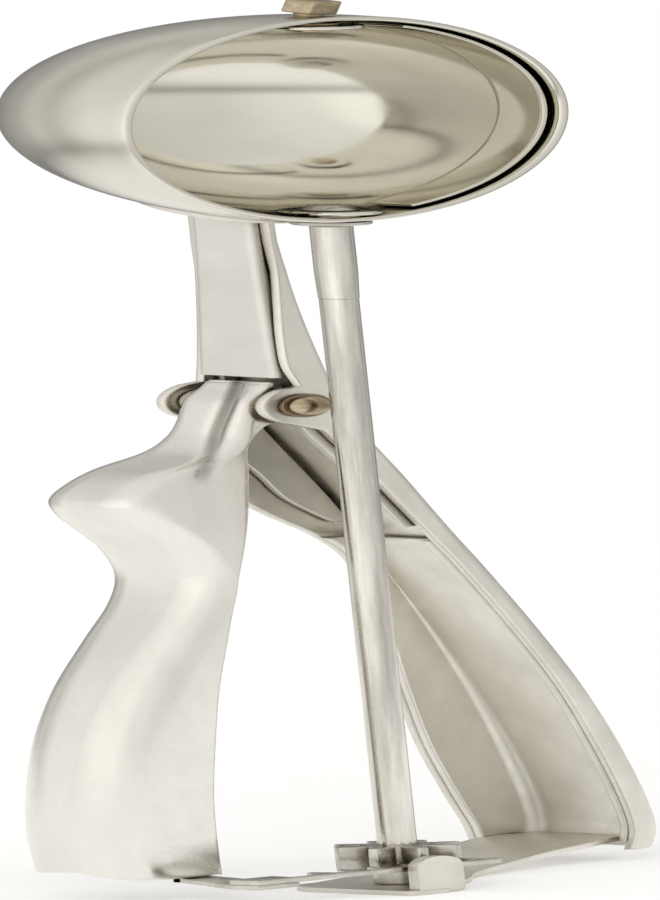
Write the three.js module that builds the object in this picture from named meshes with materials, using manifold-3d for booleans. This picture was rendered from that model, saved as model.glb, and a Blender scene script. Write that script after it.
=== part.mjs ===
import * as THREE from 'three';
import { mergeVertices } from 'three/addons/utils/BufferGeometryUtils.js';
import Module from 'manifold-3d';

const wasm = await Module();
wasm.setup();

// A squeeze-handle ice cream scoop, in millimetres, standing on its foot plate.
// Lengths are measured from the shaft's axis, which runs up Z. The bowl opens toward -Y,
// the fixed grip spreads toward +X and the lever toward -X.

// Bowl
const bowlRadius = 25;
const bowlWall = 1.1;
const bowlHeight = 189.3;
const bowlCollar = 3.4;
const bowlSteps = 14;
const bowlSegments = 44;

// Shared clearances
const seatGap = 0.05;
const turnGap = 0.3;

// Shaft, sleeve and the parts on it
const shaftRadius = 1.6;
const shaftNeckRadius = 1.25;
const shaftStart = 0.2;
const sleeveLength = 17.75;
const sleeveRadius = 1.75;
const bushRadius = 2.5;
const bushFlange = 3.3;
const bushFlangeThickness = 0.9;
const roundSegments = 24;

// Scraper
const scraperSheet = 0.55;
const scraperClearance = 0.4;
const scraperFront = 2.4;
const scraperBack = 2.8;
const scraperEyelet = 4.3;
const scraperEyeletSheet = 0.8;
const scraperBossRadius = 2.4;
const scraperBossHeight = 1.1;

// Brass peg on top
const pegWidth = 3.3;
const pegHeight = 3.4;
const pegTilt = THREE.MathUtils.degToRad(10);
const pegShankRadius = 1.2;
const pegFootRadius = 2.05;
const pegBevel = 0.5;

// Frame of the handle: both channels are centred on this plane
const frameY = 11.1;
const outerSheet = 1;
const stemSheet = 0.8;
const leverSheet = 1.1;
const linerSheet = 0.9;
const nestGap = 0.1;
const gripNeck = 4.9;
const gripReach = 35;
const stemDepth = 1.1;
const leverNeck = 4.6;
const leverReach = 26;
const leverHook = 5.4;
const hookGap = 1.1;

// Saddle
const saddleRadius = 7.5;
const saddleSheet = 1.1;
const saddleX = -0.4;

// Pivot
const pivotHeight = 118.4;
const earRadius = 4.5;
const earWidth = 11.8;
const rivetShank = 1.2;
const rivetHole = 1.5;
const rivetHead = 2.5;
const rivetDome = 1.4;
const washerRadius = 3.1;
const washerThickness = 0.5;
const pivotBushRadius = 1.75;
const innerEarRadius = 3.1;

// Return spring
const springWire = 0.35;
const springRadius = 2.4;
const springTurns = 2.5;
const springSteps = 8;
const springSides = 5;
const springLeverLegX = -3.1;
const springLeverLegDrop = 3.4;
const springGripLegX = 4.6;
const springGripLegDrop = 4.6;

// Pinion and rack
const pinionTeeth = 8;
const gearModule = 1.083;
const pinionBottom = 5.1;
const pinionHeight = 5.6;
const toothTip = 0.95;
const toothRoot = 1.25;
const toothSlope = 0.4;
const toothPlay = 0.26;
const rollSteps = 6;
const rackTeeth = 6;
const rackTeethRight = 1;
const rackBottom = 5.7;
const rackSheet = 1.2;
const rackOuterY = -6.5;
const rackLeft = -22.6;
const rackLugRight = -17.8;
const rackEarBottom = 4.5;
const rackEarTop = 12;
const rackEarLeft = -18.6;
const rackEarRight = -15.4;
const rackEarSheet = 1;
const spacerRadius = 2.2;

// Foot plate, arm and tab
const footSheet = 1.2;
const footLeft = -7;
const footBackY = 7;
const footFrontY = -8;
const tabSheet = 1.2;
const tabLeft = -6;
const tabRight = -0.9;
const tabTop = 9.3;
const footCorner = 4;
const footCornerFront = 0.8;

// Finer steps between two stations, and round a corner
const channelSteps = 2;
const arcSteps = 3;
const curveSegments = 6;

// Stations of the channels, from the bowl down. A height up to 1 is a share of the pivot's height, and
// from 1 to 2 a share of the way on to the bowl's middle (the stem's foot for the walls, the hook's top
// for the lever). A depth up to 1 is a share of the neck's depth, and from 1 to 2 a share of the way on
// to the channel's full reach: web is the outer face, front and back are the free edges of the walls.
// Widths and rounds are shares of the ears' width, and for the stem of the room inside the grip.
const gripShares = [
  { height: 1.756, web: 0.194, width: 0.737, round: 0.068, front: -0.041, back: -0.041 },
  { height: 1.566, web: 0.214, width: 0.754, round: 0.068, front: -0.02, back: -0.02 },
  { height: 1.46, web: 0.306, width: 0.78, round: 0.068, front: 0, back: 0 },
  { height: 1.347, web: 0.429, width: 0.814, round: 0.068, front: -0.061, back: 0 },
  { height: 1.234, web: 0.592, width: 0.864, round: 0.076, front: -0.143, back: 0 },
  { height: 1.135, web: 0.735, width: 0.924, round: 0.076, front: -0.163, back: 0 },
  { height: 1.065, web: 0.837, width: 0.983, round: 0.085, front: 0, back: 0 },
  { height: 1, web: 1, width: 1, round: 0.085, front: 0.082, back: 0 },
  { height: 0.946, web: 1.05, width: 1, round: 0.085, front: 0.449, back: -0.408 },
  { height: 0.894, web: 1.126, width: 1, round: 0.093, front: 0.939, back: -0.49 },
  { height: 0.83, web: 1.219, width: 1, round: 0.11, front: 1.09, back: 0 },
  { height: 0.764, web: 1.306, width: 1.008, round: 0.127, front: 1.186, back: 1.003 },
  { height: 0.699, web: 1.392, width: 1.025, round: 0.144, front: 1.279, back: 1.216 },
  { height: 0.636, web: 1.475, width: 1.076, round: 0.169, front: 1.362, back: 1.342 },
  { height: 0.507, web: 1.635, width: 1.161, round: 0.212, front: 1.515, back: 1.429 },
  { height: 0.378, web: 1.777, width: 1.246, round: 0.254, front: 1.648, back: 1.495 },
  { height: 0.251, web: 1.894, width: 1.305, round: 0.297, front: 1.748, back: 1.568 },
  { height: 0.139, web: 1.973, width: 1.339, round: 0.322, front: 1.821, back: 1.661 },
  { height: 0.068, web: 2, width: 1.356, round: 0.322, front: 1.847, back: 1.728 },
  { height: 0.0245, web: 1.973, width: 1.356, round: 0.322, front: 1.821, back: 1.748 },
];

// Inner channel of the stem, web toward -X, from the bowl down to its foot above the lever's hook
const stemShares = [
  { height: 1.731, web: 1, width: 1, round: 0.108, front: 0.136, back: 0.136 },
  { height: 1.522, web: 1, width: 1, round: 0.104, front: 0.109, back: 0.109 },
  { height: 1.39, web: 1, width: 0.985, round: 0.1, front: -0.182, back: -0.182 },
  { height: 1.172, web: 1, width: 0.984, round: 0.09, front: -0.909, back: -0.909 },
  { height: 1, web: 1, width: 0.942, round: 0.082, front: -1.818, back: -1.818 },
];

// Walls of the stem below its web: they spread against the outer channel
const wallShares = [
  { height: 2, web: 0.531, width: 0.942, front: 0.204, back: 0.204 },
  { height: 1.523, web: 0.612, width: 0.983, front: 0.306, back: 0.306 },
  { height: 1.062, web: 0.694, width: 1, front: 0.122, back: 0.122 },
  { height: 0.95, web: 1, width: 1, front: 0.184, back: -0.245 },
  { height: 0.895, web: 1.073, width: 1, front: 0.694, back: 0.286 },
  { height: 0.84, web: 1.153, width: 1, front: 1.043, back: 0.898 },
  { height: 0.785, web: 1.229, width: 0.993, front: 1.12, back: 1.076 },
  { height: 0.731, web: 1.299, width: 0.98, front: 1.196, back: 1.243 },
];

const leverShares = [
  { height: 2, web: 0.283, width: 0.909, round: 0.117, front: -0.043, back: -0.043 },
  { height: 1.667, web: 0.5, width: 0.935, round: 0.13, front: -0.109, back: -0.109 },
  { height: 1.259, web: 0.848, width: 0.974, round: 0.156, front: -0.13, back: -0.13 },
  { height: 0.991, web: 1, width: 1, round: 0.182, front: -0.13, back: -0.13 },
  { height: 0.959, web: 1.037, width: 1.026, round: 0.208, front: 0.478, back: 0.478 },
  { height: 0.931, web: 1.089, width: 1.117, round: 0.234, front: 0.957, back: 0.957 },
  { height: 0.903, web: 1.21, width: 1.221, round: 0.299, front: 1.033, back: 1.033 },
  { height: 0.877, web: 1.458, width: 1.312, round: 0.39, front: 1.051, back: 1.051 },
  { height: 0.848, web: 1.621, width: 1.377, round: 0.442, front: 1.07, back: 1.07 },
  { height: 0.819, web: 1.706, width: 1.429, round: 0.455, front: 1.089, back: 1.089 },
  { height: 0.787, web: 1.664, width: 1.468, round: 0.442, front: 1.107, back: 1.107 },
  { height: 0.753, web: 1.561, width: 1.506, round: 0.429, front: 1.131, back: 1.131 },
  { height: 0.712, web: 1.449, width: 1.519, round: 0.416, front: 1.159, back: 1.159 },
  { height: 0.657, web: 1.383, width: 1.545, round: 0.416, front: 1.206, back: 1.206 },
  { height: 0.6, web: 1.439, width: 1.571, round: 0.468, front: 1.252, back: 1.252 },
  { height: 0.526, web: 1.593, width: 1.61, round: 0.519, front: 1.313, back: 1.313 },
  { height: 0.431, web: 1.78, width: 1.649, round: 0.571, front: 1.388, back: 1.388 },
  { height: 0.329, web: 1.911, width: 1.675, round: 0.61, front: 1.439, back: 1.439 },
  { height: 0.22, web: 1.981, width: 1.688, round: 0.636, front: 1.481, back: 1.481 },
  { height: 0.127, web: 2, width: 1.688, round: 0.649, front: 1.491, back: 1.491 },
  { height: 0.034, web: 1.972, width: 1.688, round: 0.649, front: 1.486, back: 1.486 },
];
const leverFootBack = 7.2;
const leverFootMiddle = 7.9;
const leverFootFront = 5.9;

// The arm from the foot plate up to the liner, as shares of its length, of its rise
// and of the way from the plate's edges to the frame's
const armLap = 0.35;
const armShares = [
  { along: 0, rise: 0, front: 0, back: 0 },
  { along: 0.143, rise: 0, front: 0.209, back: 0.19 },
  { along: 0.266, rise: 0, front: 0.387, back: 0.36 },
  { along: 0.361, rise: 0.043, front: 0.539, back: 0.5 },
  { along: 0.488, rise: 0.304, front: 0.597, back: 0.67 },
  { along: 0.606, rise: 0.609, front: 0.618, back: 0.83 },
  { along: 0.719, rise: 0.848, front: 0.628, back: 0.96 },
  { along: 0.821, rise: 0.978, front: 0.67, back: 1 },
  { along: 0.949, rise: 1, front: 0.764, back: 0.9 },
];
const linerTopShare = 0.701;
const linerBottomShare = 0.03;

// Lengths that follow from the ones above
const earSpan = earWidth - 2 * outerSheet - 2 * nestGap;
const leverEarWidth = earSpan - 2 * stemSheet - turnGap;
const springLength = leverEarWidth - 2 * leverSheet - 4 * springWire;
const linerTop = pivotHeight * linerTopShare;
const linerBottom = pivotHeight * linerBottomShare;

const hookTop = pivotHeight + leverHook;
const stemFoot = hookTop + hookGap;

const gripStations = toStations(gripShares, pivotHeight, bowlHeight, gripNeck, gripReach, earWidth);
const stemStations = insideGrip(toStations(stemShares, stemFoot, bowlHeight, -stemDepth, -stemDepth));
const wallStations = insideGrip(toStations(wallShares, pivotHeight, stemFoot, gripNeck, gripReach));
const leverStations = toStations(leverShares, pivotHeight, hookTop, -leverNeck, -leverReach, leverEarWidth);
const leverFootWidth = leverStations[leverStations.length - 1].width;

// The arm ends under the liner's lowest station and laps over it
const armRise = linerStations().at(-1).z + armLap - footSheet;
const armStart = footLeft + footCorner + turnGap;
const armStations = armShares.map((row) => ({
  x: THREE.MathUtils.lerp(armStart, gripReach, row.along),
  z: armRise * row.rise,
  frontY: THREE.MathUtils.lerp(footFrontY, frameY, row.front),
  backY: THREE.MathUtils.lerp(footBackY, frameY + earWidth / 2, row.back),
}));

const pitchRadius = pinionTeeth * gearModule / 2;
const toothPitch = Math.PI * gearModule;
const reach = 400;

// Up to 1 a share of the first length, and from 1 to 2 a share of the way on to the second
function alongTwo(share, first, second) {
  return share > 1 ? THREE.MathUtils.lerp(first, second, share - 1) : share * first;
}

function toStations(shares, low, high, neck, fullReach, width = 1) {
  return shares.map((row) => ({
    z: alongTwo(row.height, low, high),
    web: alongTwo(row.web, neck, fullReach),
    width: row.width * width,
    round: (row.round ?? 0) * width,
    front: alongTwo(row.front, neck, fullReach),
    back: alongTwo(row.back, neck, fullReach),
  }));
}

// Same stations with their widths and rounds taken from the room between the grip's walls
function insideGrip(stations) {
  return stations.map((row) => {
    const room = gripWidthAt(row.z) - 2 * outerSheet - 2 * nestGap;
    return { ...row, width: row.width * room, round: row.round * room };
  });
}

function gripWidthAt(z) {
  const rows = refine(gripStations);
  const below = rows.findIndex((row) => row.z <= z);
  const upper = rows[Math.max(below - 1, 0)];
  const lower = rows[Math.max(below, 1)];
  return THREE.MathUtils.mapLinear(z, lower.z, upper.z, lower.width, upper.width);
}

// Solids and cuts
function toSolid(geometry) {
  const bare = geometry.clone();
  bare.deleteAttribute('normal');
  bare.deleteAttribute('uv');
  const merged = mergeVertices(bare);
  const vertProperties = new Float32Array(merged.attributes.position.array);
  const triVerts = new Uint32Array(merged.index.array);
  return new wasm.Manifold(new wasm.Mesh({ numProp: 3, vertProperties, triVerts }));
}

function toGeometry(solid) {
  const mesh = solid.getMesh();
  const geometry = new THREE.BufferGeometry();
  geometry.setAttribute('position', new THREE.BufferAttribute(new Float32Array(mesh.vertProperties), 3));
  geometry.setIndex(new THREE.BufferAttribute(new Uint32Array(mesh.triVerts), 1));
  geometry.computeVertexNormals();
  return geometry;
}

function boxSolid(low, high) {
  const geometry = new THREE.BoxGeometry(high[0] - low[0], high[1] - low[1], high[2] - low[2]);
  geometry.translate((low[0] + high[0]) / 2, (low[1] + high[1]) / 2, (low[2] + high[2]) / 2);
  return toSolid(geometry);
}

// A rod along Z from one height to another
function rod(radius, bottom, top, x = 0, y = 0) {
  const geometry = new THREE.CylinderGeometry(radius, radius, top - bottom, roundSegments);
  geometry.rotateX(Math.PI / 2);
  geometry.translate(x, y, (bottom + top) / 2);
  return toSolid(geometry);
}

// A rod along Y at the pivot
function pivotRod(radius, near, far) {
  const geometry = new THREE.CylinderGeometry(radius, radius, far - near, roundSegments);
  geometry.translate(0, (near + far) / 2, pivotHeight);
  return toSolid(geometry);
}

function tube(outer, inner, bottom, top) {
  return rod(outer, bottom, top).subtract(rod(inner, bottom - turnGap, top + turnGap));
}

// Closed shell from rings that all hold the same number of points
function loft(rings, flatRing) {
  const count = rings[0].length;
  const positions = rings.flatMap((ring) => ring.flatMap((point) => point.toArray()));
  const index = [];
  for (let row = 0; row + 1 < rings.length; row += 1) {
    for (let column = 0; column < count; column += 1) {
      const next = (column + 1) % count;
      const a = row * count + column;
      const b = row * count + next;
      index.push(a, b, b + count, a, b + count, a + count);
    }
  }
  const last = (rings.length - 1) * count;
  for (const [a, b, c] of capFaces(flatRing)) {
    index.push(a, c, b, last + a, last + b, last + c);
  }
  const geometry = new THREE.BufferGeometry();
  geometry.setAttribute('position', new THREE.Float32BufferAttribute(positions, 3));
  geometry.setIndex(index);
  return geometry;
}

// Triangles over one ring, wound the way that the ring runs
function capFaces(flatRing) {
  const ring = THREE.ShapeUtils.isClockWise(flatRing) ? [...flatRing].reverse() : flatRing;
  const faces = THREE.ShapeUtils.triangulateShape([...ring], []);
  if (ring === flatRing) {
    return faces;
  }
  const end = ring.length - 1;
  return faces.map((face) => face.map((index) => end - index).reverse());
}

// Same shell with its faces turned outward, whichever way the rings run
function loftSolid(rings, flatRing) {
  const geometry = loft(rings, flatRing);
  const solid = toSolid(geometry);
  if (solid.volume() > 0) {
    return solid;
  }
  const flipped = Array.from(geometry.index.array);
  for (let face = 0; face < flipped.length; face += 3) {
    [flipped[face], flipped[face + 1]] = [flipped[face + 1], flipped[face]];
  }
  geometry.setIndex(flipped);
  return toSolid(geometry);
}

// Catmull-Rom steps between the stations, for every number they hold
function refine(stations) {
  const keys = Object.keys(stations[0]);
  const fine = [];
  for (let index = 0; index + 1 < stations.length; index += 1) {
    const before = stations[Math.max(index - 1, 0)];
    const after = stations[Math.min(index + 2, stations.length - 1)];
    for (let step = 0; step < channelSteps; step += 1) {
      const share = step / channelSteps;
      const row = {};
      for (const key of keys) {
        row[key] = blend(before[key], stations[index][key], stations[index + 1][key], after[key], share);
      }
      fine.push(row);
    }
  }
  fine.push({ ...stations[stations.length - 1] });
  return fine;
}

function blend(before, from, to, after, share) {
  const startSlope = (to - before) / 2;
  const endSlope = (after - from) / 2;
  const square = share * share;
  const cube = square * share;
  return from * (2 * cube - 3 * square + 1) + startSlope * (cube - 2 * square + share)
    + to * (3 * square - 2 * cube) + endSlope * (cube - square);
}

// Points of a rounded corner; towards is +1 for a web at +X and -1 for one at -X
function corner(x, y, radius, startAngle, endAngle, towards) {
  const points = [];
  for (let step = 0; step <= arcSteps; step += 1) {
    const angle = THREE.MathUtils.lerp(startAngle, endAngle, step / arcSteps);
    points.push(new THREE.Vector2(x + towards * radius * Math.cos(angle), y + radius * Math.sin(angle)));
  }
  return points;
}

// Section of a channel: free front edge, round the web, free back edge, and back inside
function channelSection(row, sheet, towards) {
  const half = row.width / 2;
  const innerRound = Math.max(row.round - sheet, sheet / 8);
  const innerHalf = half - sheet;
  const innerWeb = row.web - towards * sheet;
  const quarter = Math.PI / 2;
  return [
    new THREE.Vector2(row.front, -half),
    ...corner(row.web - towards * row.round, row.round - half, row.round, -quarter, 0, towards),
    ...corner(row.web - towards * row.round, half - row.round, row.round, 0, quarter, towards),
    new THREE.Vector2(row.back, half),
    new THREE.Vector2(row.back, innerHalf),
    ...corner(innerWeb - towards * innerRound, innerHalf - innerRound, innerRound, quarter, 0, towards),
    ...corner(innerWeb - towards * innerRound, innerRound - innerHalf, innerRound, 0, -quarter, towards),
    new THREE.Vector2(row.front, -innerHalf),
  ];
}

function channel(rows, sheet, towards) {
  const sections = rows.map((row) => ({ z: row.z, flat: channelSection(row, sheet, towards) }));
  const rings = sections.map(({ z, flat }) => flat.map((p) => new THREE.Vector3(p.x, p.y + frameY, z)));
  return loftSolid(rings, sections[0].flat);
}

// One flat wall of a channel, on the side of the frame plane that side gives
function wall(stations, sheet, side, edge) {
  const rings = refine(stations).map((row) => {
    const outer = frameY + side * row.width / 2;
    const inner = outer - side * sheet;
    return [
      new THREE.Vector3(row[edge], outer, row.z),
      new THREE.Vector3(row.web, outer, row.z),
      new THREE.Vector3(row.web, inner, row.z),
      new THREE.Vector3(row[edge], inner, row.z),
    ];
  });
  return loftSolid(rings, rings[0].map((point) => new THREE.Vector2(point.x, point.y)));
}

// Disc of an ear, flat against a channel's wall
function earDisc(radius, width, sheet, side) {
  const outer = frameY + side * width / 2;
  const inner = outer - side * sheet;
  return pivotRod(radius, Math.min(outer, inner), Math.max(outer, inner));
}

// Bowl
function ballProfile(radius) {
  const points = [];
  for (let step = 0; step <= bowlSteps; step += 1) {
    const angle = THREE.MathUtils.lerp(Math.PI / 2, 0, step / bowlSteps);
    points.push(new THREE.Vector2(radius * Math.cos(angle), radius * Math.sin(angle)));
  }
  return points;
}

// Half ball with a collar, its pole toward +Y
function cupSolid(radius, collar) {
  const profile = ballProfile(radius);
  profile[0].x = 0;
  profile.push(new THREE.Vector2(radius, -collar), new THREE.Vector2(0, -collar));
  const geometry = new THREE.LatheGeometry(profile.reverse(), bowlSegments);
  geometry.translate(0, 0, bowlHeight);
  return toSolid(geometry);
}

function bowlSolid() {
  const shell = cupSolid(bowlRadius, bowlCollar).subtract(cupSolid(bowlRadius - bowlWall, reach));
  const bushHole = rod(bushRadius + turnGap, bowlHeight - reach, bowlHeight);
  const pegHole = rod(pegShankRadius + turnGap, bowlHeight, bowlHeight + reach);
  return shell.subtract(bushHole).subtract(pegHole);
}

function ball(radius) {
  const geometry = new THREE.SphereGeometry(radius, bowlSegments, bowlSegments / 2);
  geometry.rotateX(Math.PI / 2);
  geometry.translate(0, 0, bowlHeight);
  return toSolid(geometry);
}

function saddleSolid() {
  const shell = ball(bowlRadius + saddleSheet + turnGap).subtract(ball(bowlRadius + turnGap));
  return shell.intersect(rod(saddleRadius, bowlHeight - reach, bowlHeight, saddleX, frameY));
}

// Outer face of the saddle, which the stem and the grip stop at
const saddleBall = ball(bowlRadius + saddleSheet + 2 * turnGap);

// Heights inside the bowl, on the shaft's axis
const bowlRoof = bowlHeight + bowlRadius - bowlWall;
const bushBottom = bowlHeight - bowlRadius - bushFlangeThickness - seatGap;
const eyeletBottom = bowlHeight - Math.sqrt((bowlRadius - bowlWall) ** 2 - scraperEyelet ** 2) + turnGap;
const bushTop = eyeletBottom - seatGap;
const eyeletTop = eyeletBottom + scraperEyeletSheet;
const sleeveEnd = bushBottom - turnGap;
const sleeveStart = sleeveEnd - sleeveLength;

function bushSolid() {
  const flange = rod(bushFlange, bushBottom, bushBottom + bushFlangeThickness);
  const body = rod(bushRadius, bushBottom, bushTop).add(flange);
  return body.subtract(rod(shaftNeckRadius + turnGap, bushBottom - turnGap, bushTop + turnGap));
}

// Scraper band: a strip of a ball's shell on the +X side, with an eyelet at each end
function scraperSolid() {
  const outer = bowlRadius - bowlWall - scraperClearance;
  const strip = ball(outer).subtract(ball(outer - scraperSheet));
  const slab = boxSolid([0, -scraperFront, bowlHeight - reach], [reach, scraperBack, bowlHeight + reach]);
  const lower = rod(scraperEyelet, eyeletBottom, eyeletTop);
  const upper = rod(scraperEyelet, upperEyeletBottom, upperEyeletTop);
  const keep = boxSolid([-reach, -reach, eyeletBottom], [reach, reach, upperEyeletTop]);
  const holes = rod(shaftNeckRadius + seatGap, bowlHeight - reach, bowlHeight)
    .add(rod(pegShankRadius + turnGap, bowlHeight, bowlHeight + reach));
  return strip.intersect(slab).add(lower).add(upper).intersect(keep).subtract(holes);
}

const upperEyeletTop = bowlRoof - washerThickness - 2 * turnGap;
const upperEyeletBottom = upperEyeletTop - scraperEyeletSheet;

function topWasherSolid() {
  const bottom = upperEyeletTop + seatGap;
  return tube(pegShankRadius * 2, pegShankRadius + turnGap / 2, bottom, bottom + washerThickness);
}

function bossSolid() {
  const bottom = eyeletTop + seatGap;
  const topRadius = scraperBossRadius / 2;
  const geometry = new THREE.CylinderGeometry(topRadius, scraperBossRadius, scraperBossHeight, roundSegments);
  geometry.rotateX(Math.PI / 2);
  geometry.translate(0, 0, bottom + scraperBossHeight / 2);
  return toSolid(geometry);
}

// Brass peg: a squarish head that leans, on a round shank through the bowl
function topPegSolid() {
  const outline = roundedRectangle(pegWidth, pegWidth, pegBevel);
  const head = new THREE.ExtrudeGeometry(outline, { depth: pegHeight, bevelEnabled: false, curveSegments });
  head.rotateZ(-Math.PI / 4);
  head.rotateX(pegTilt);
  head.rotateZ(Math.PI / 4);
  head.translate(0, 0, bowlHeight + bowlRadius + pegBevel);
  const shank = rod(pegShankRadius, upperEyeletBottom - turnGap, bowlHeight + bowlRadius + pegHeight / 2);
  const foot = rod(pegFootRadius, upperEyeletBottom - washerThickness - turnGap, upperEyeletBottom - seatGap);
  return toSolid(head).add(shank).add(foot);
}

function roundedRectangle(width, height, radius) {
  const x = width / 2;
  const y = height / 2;
  const shape = new THREE.Shape();
  shape.moveTo(radius - x, -y);
  shape.lineTo(x - radius, -y);
  shape.absarc(x - radius, radius - y, radius, -Math.PI / 2, 0);
  shape.lineTo(x, y - radius);
  shape.absarc(x - radius, y - radius, radius, 0, Math.PI / 2);
  shape.lineTo(radius - x, y);
  shape.absarc(radius - x, y - radius, radius, Math.PI / 2, Math.PI);
  shape.lineTo(-x, radius - y);
  shape.absarc(radius - x, radius - y, radius, Math.PI, Math.PI * 3 / 2);
  return shape;
}

// Shaft with a thinner neck inside the sleeve and the bush
function shaftSolid() {
  const lower = rod(shaftRadius, shaftStart, sleeveStart - seatGap);
  const neck = rod(shaftNeckRadius, shaftStart, eyeletTop);
  return lower.add(neck);
}

function sleeveSolid() {
  return tube(sleeveRadius, shaftNeckRadius + seatGap, sleeveStart, sleeveEnd);
}

// Pinion, cut by a rack's tooth rolled past each gap
function extrudeAt(shape, bottom, height) {
  const geometry = new THREE.ExtrudeGeometry(shape, { depth: height, bevelEnabled: false, curveSegments });
  geometry.translate(0, 0, bottom);
  return toSolid(geometry);
}

function toothCutter(offset, turn) {
  const deep = pitchRadius + toothTip + toothRoot;
  const half = toothPitch / 4 + toothPlay / 2;
  const shape = new THREE.Shape();
  const tip = half - toothRoot * toothSlope;
  const base = half + (deep - pitchRadius) * toothSlope;
  shape.moveTo(offset - tip, toothRoot - pitchRadius);
  shape.lineTo(offset - base, -deep);
  shape.lineTo(offset + base, -deep);
  shape.lineTo(offset + tip, toothRoot - pitchRadius);
  const depth = pinionHeight + 2 * turnGap;
  const geometry = new THREE.ExtrudeGeometry(shape, { depth, bevelEnabled: false });
  geometry.translate(0, 0, pinionBottom - turnGap);
  geometry.rotateZ(turn);
  return toSolid(geometry);
}

function pinionSolid() {
  let gear = rod(pitchRadius + toothTip, pinionBottom, pinionBottom + pinionHeight);
  for (let tooth = 0; tooth < pinionTeeth; tooth += 1) {
    const place = tooth / pinionTeeth * Math.PI * 2;
    for (let step = -rollSteps; step <= rollSteps; step += 1) {
      const travel = step / rollSteps * toothPitch;
      gear = gear.subtract(toothCutter(travel, place - travel / pitchRadius));
    }
  }
  return gear.subtract(rod(shaftRadius + seatGap, 0, reach));
}

const rackRootY = -pitchRadius - toothRoot;
const rackTipY = toothTip - pitchRadius;

// Rack: a toothed strip in front of the pinion, a lug that passes under the lever and an ear inside it
function rackOutline() {
  const half = toothPitch / 4 - toothPlay / 2;
  const shape = new THREE.Shape();
  const right = rackCentre(0) + toothPitch / 2;
  shape.moveTo(rackLeft, rackOuterY);
  shape.lineTo(right, rackOuterY);
  shape.lineTo(right, rackRootY);
  for (let tooth = 0; tooth < rackTeeth; tooth += 1) {
    const centre = rackCentre(tooth);
    shape.lineTo(centre + half + toothRoot * toothSlope, rackRootY);
    shape.lineTo(centre + half - toothTip * toothSlope, rackTipY);
    shape.lineTo(centre - half + toothTip * toothSlope, rackTipY);
    shape.lineTo(centre - half - toothRoot * toothSlope, rackRootY);
  }
  shape.lineTo(rackLugRight, rackRootY);
  shape.lineTo(rackLugRight, rackTipY);
  shape.lineTo(rackLeft, rackTipY);
  return shape;
}

function rackCentre(tooth) {
  return (rackTeethRight - tooth) * toothPitch;
}

function rackSolid() {
  const strip = extrudeAt(rackOutline(), rackBottom, rackSheet);
  const rackTop = rackBottom + rackSheet;
  const step = boxSolid([rackLeft, rackOuterY, rackEarBottom], [rackLugRight, rackTipY, rackTop]);
  const lugNear = frameY - leverFootWidth / 2 + leverSheet + seatGap;
  const lugFar = lugNear + rackEarSheet;
  const lug = new THREE.Shape();
  lug.moveTo(rackLeft, rackTipY - seatGap);
  lug.lineTo(rackLugRight, rackTipY - seatGap);
  lug.lineTo(rackEarRight, lugNear);
  lug.lineTo(rackEarRight, lugFar);
  lug.lineTo(rackEarLeft, lugFar);
  lug.lineTo(rackEarLeft, lugNear);
  const plate = extrudeAt(lug, rackEarBottom, rackBottom - rackEarBottom);
  const ear = boxSolid([rackEarLeft, lugNear, rackEarBottom], [rackEarRight, lugFar, rackEarTop]);
  return strip.add(step).add(plate).add(ear);
}

// Handle channels
const rivetBore = pivotRod(rivetHole, -reach, reach);

function gripSolid() {
  let solid = channel(refine(gripStations), outerSheet, 1);
  for (const side of [-1, 1]) {
    solid = solid.add(earDisc(earRadius, earWidth, outerSheet, side));
  }
  return solid.subtract(rivetBore).subtract(saddleBall);
}

function stemSolid() {
  let solid = channel(refine(stemStations), stemSheet, -1);
  for (const side of [-1, 1]) {
    solid = solid.add(wall(wallStations, stemSheet, side, side < 0 ? 'front' : 'back'));
    solid = solid.add(earDisc(innerEarRadius, earSpan, stemSheet, side));
  }
  return solid.subtract(rivetBore).subtract(saddleBall);
}

// Waved cut at the lever's foot, drawn across the frame and run along X
function leverFootCut() {
  const half = leverFootWidth;
  const curve = new THREE.CatmullRomCurve3([
    new THREE.Vector3(-half, leverFootFront, 0),
    new THREE.Vector3(-half / 2, leverFootFront, 0),
    new THREE.Vector3(0, leverFootMiddle, 0),
    new THREE.Vector3(half / 2, leverFootBack, 0),
    new THREE.Vector3(half, leverFootBack, 0),
  ]);
  const points = curve.getPoints(roundSegments).map((point) => new THREE.Vector2(point.x, point.y));
  points.push(new THREE.Vector2(half, -reach), new THREE.Vector2(-half, -reach));
  const geometry = new THREE.ExtrudeGeometry(new THREE.Shape(points), { depth: reach, bevelEnabled: false });
  geometry.rotateX(Math.PI / 2);
  geometry.rotateZ(Math.PI / 2);
  geometry.translate(-reach / 2, frameY, 0);
  return toSolid(geometry);
}

function leverSolid() {
  let solid = channel(refine(leverStations), leverSheet, -1);
  for (const side of [-1, 1]) {
    solid = solid.add(earDisc(innerEarRadius, leverEarWidth, leverSheet, side));
  }
  return solid.subtract(rivetBore).subtract(leverFootCut());
}

// Liner stations follow the outer channel at one sheet's depth
function linerStations() {
  const inset = outerSheet + nestGap;
  const rows = refine(gripStations).filter((row) => row.z < linerTop && row.z > linerBottom);
  return rows.map((row) => ({
    z: row.z,
    web: row.web - inset,
    width: row.width - 2 * inset,
    round: Math.max(row.round - inset, linerSheet / 2),
    front: row.front + nestGap,
    back: row.back - nestGap,
  }));
}

function armSolid() {
  const rings = refine(armStations).map((row) => {
    const lower = Math.max(row.z, 0);
    return [
      new THREE.Vector3(row.x, row.frontY, lower),
      new THREE.Vector3(row.x, row.backY, lower),
      new THREE.Vector3(row.x, row.backY, lower + footSheet),
      new THREE.Vector3(row.x, row.frontY, lower + footSheet),
    ];
  });
  return loftSolid(rings, rings[0].map((point) => new THREE.Vector2(point.y, point.z)));
}

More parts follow.
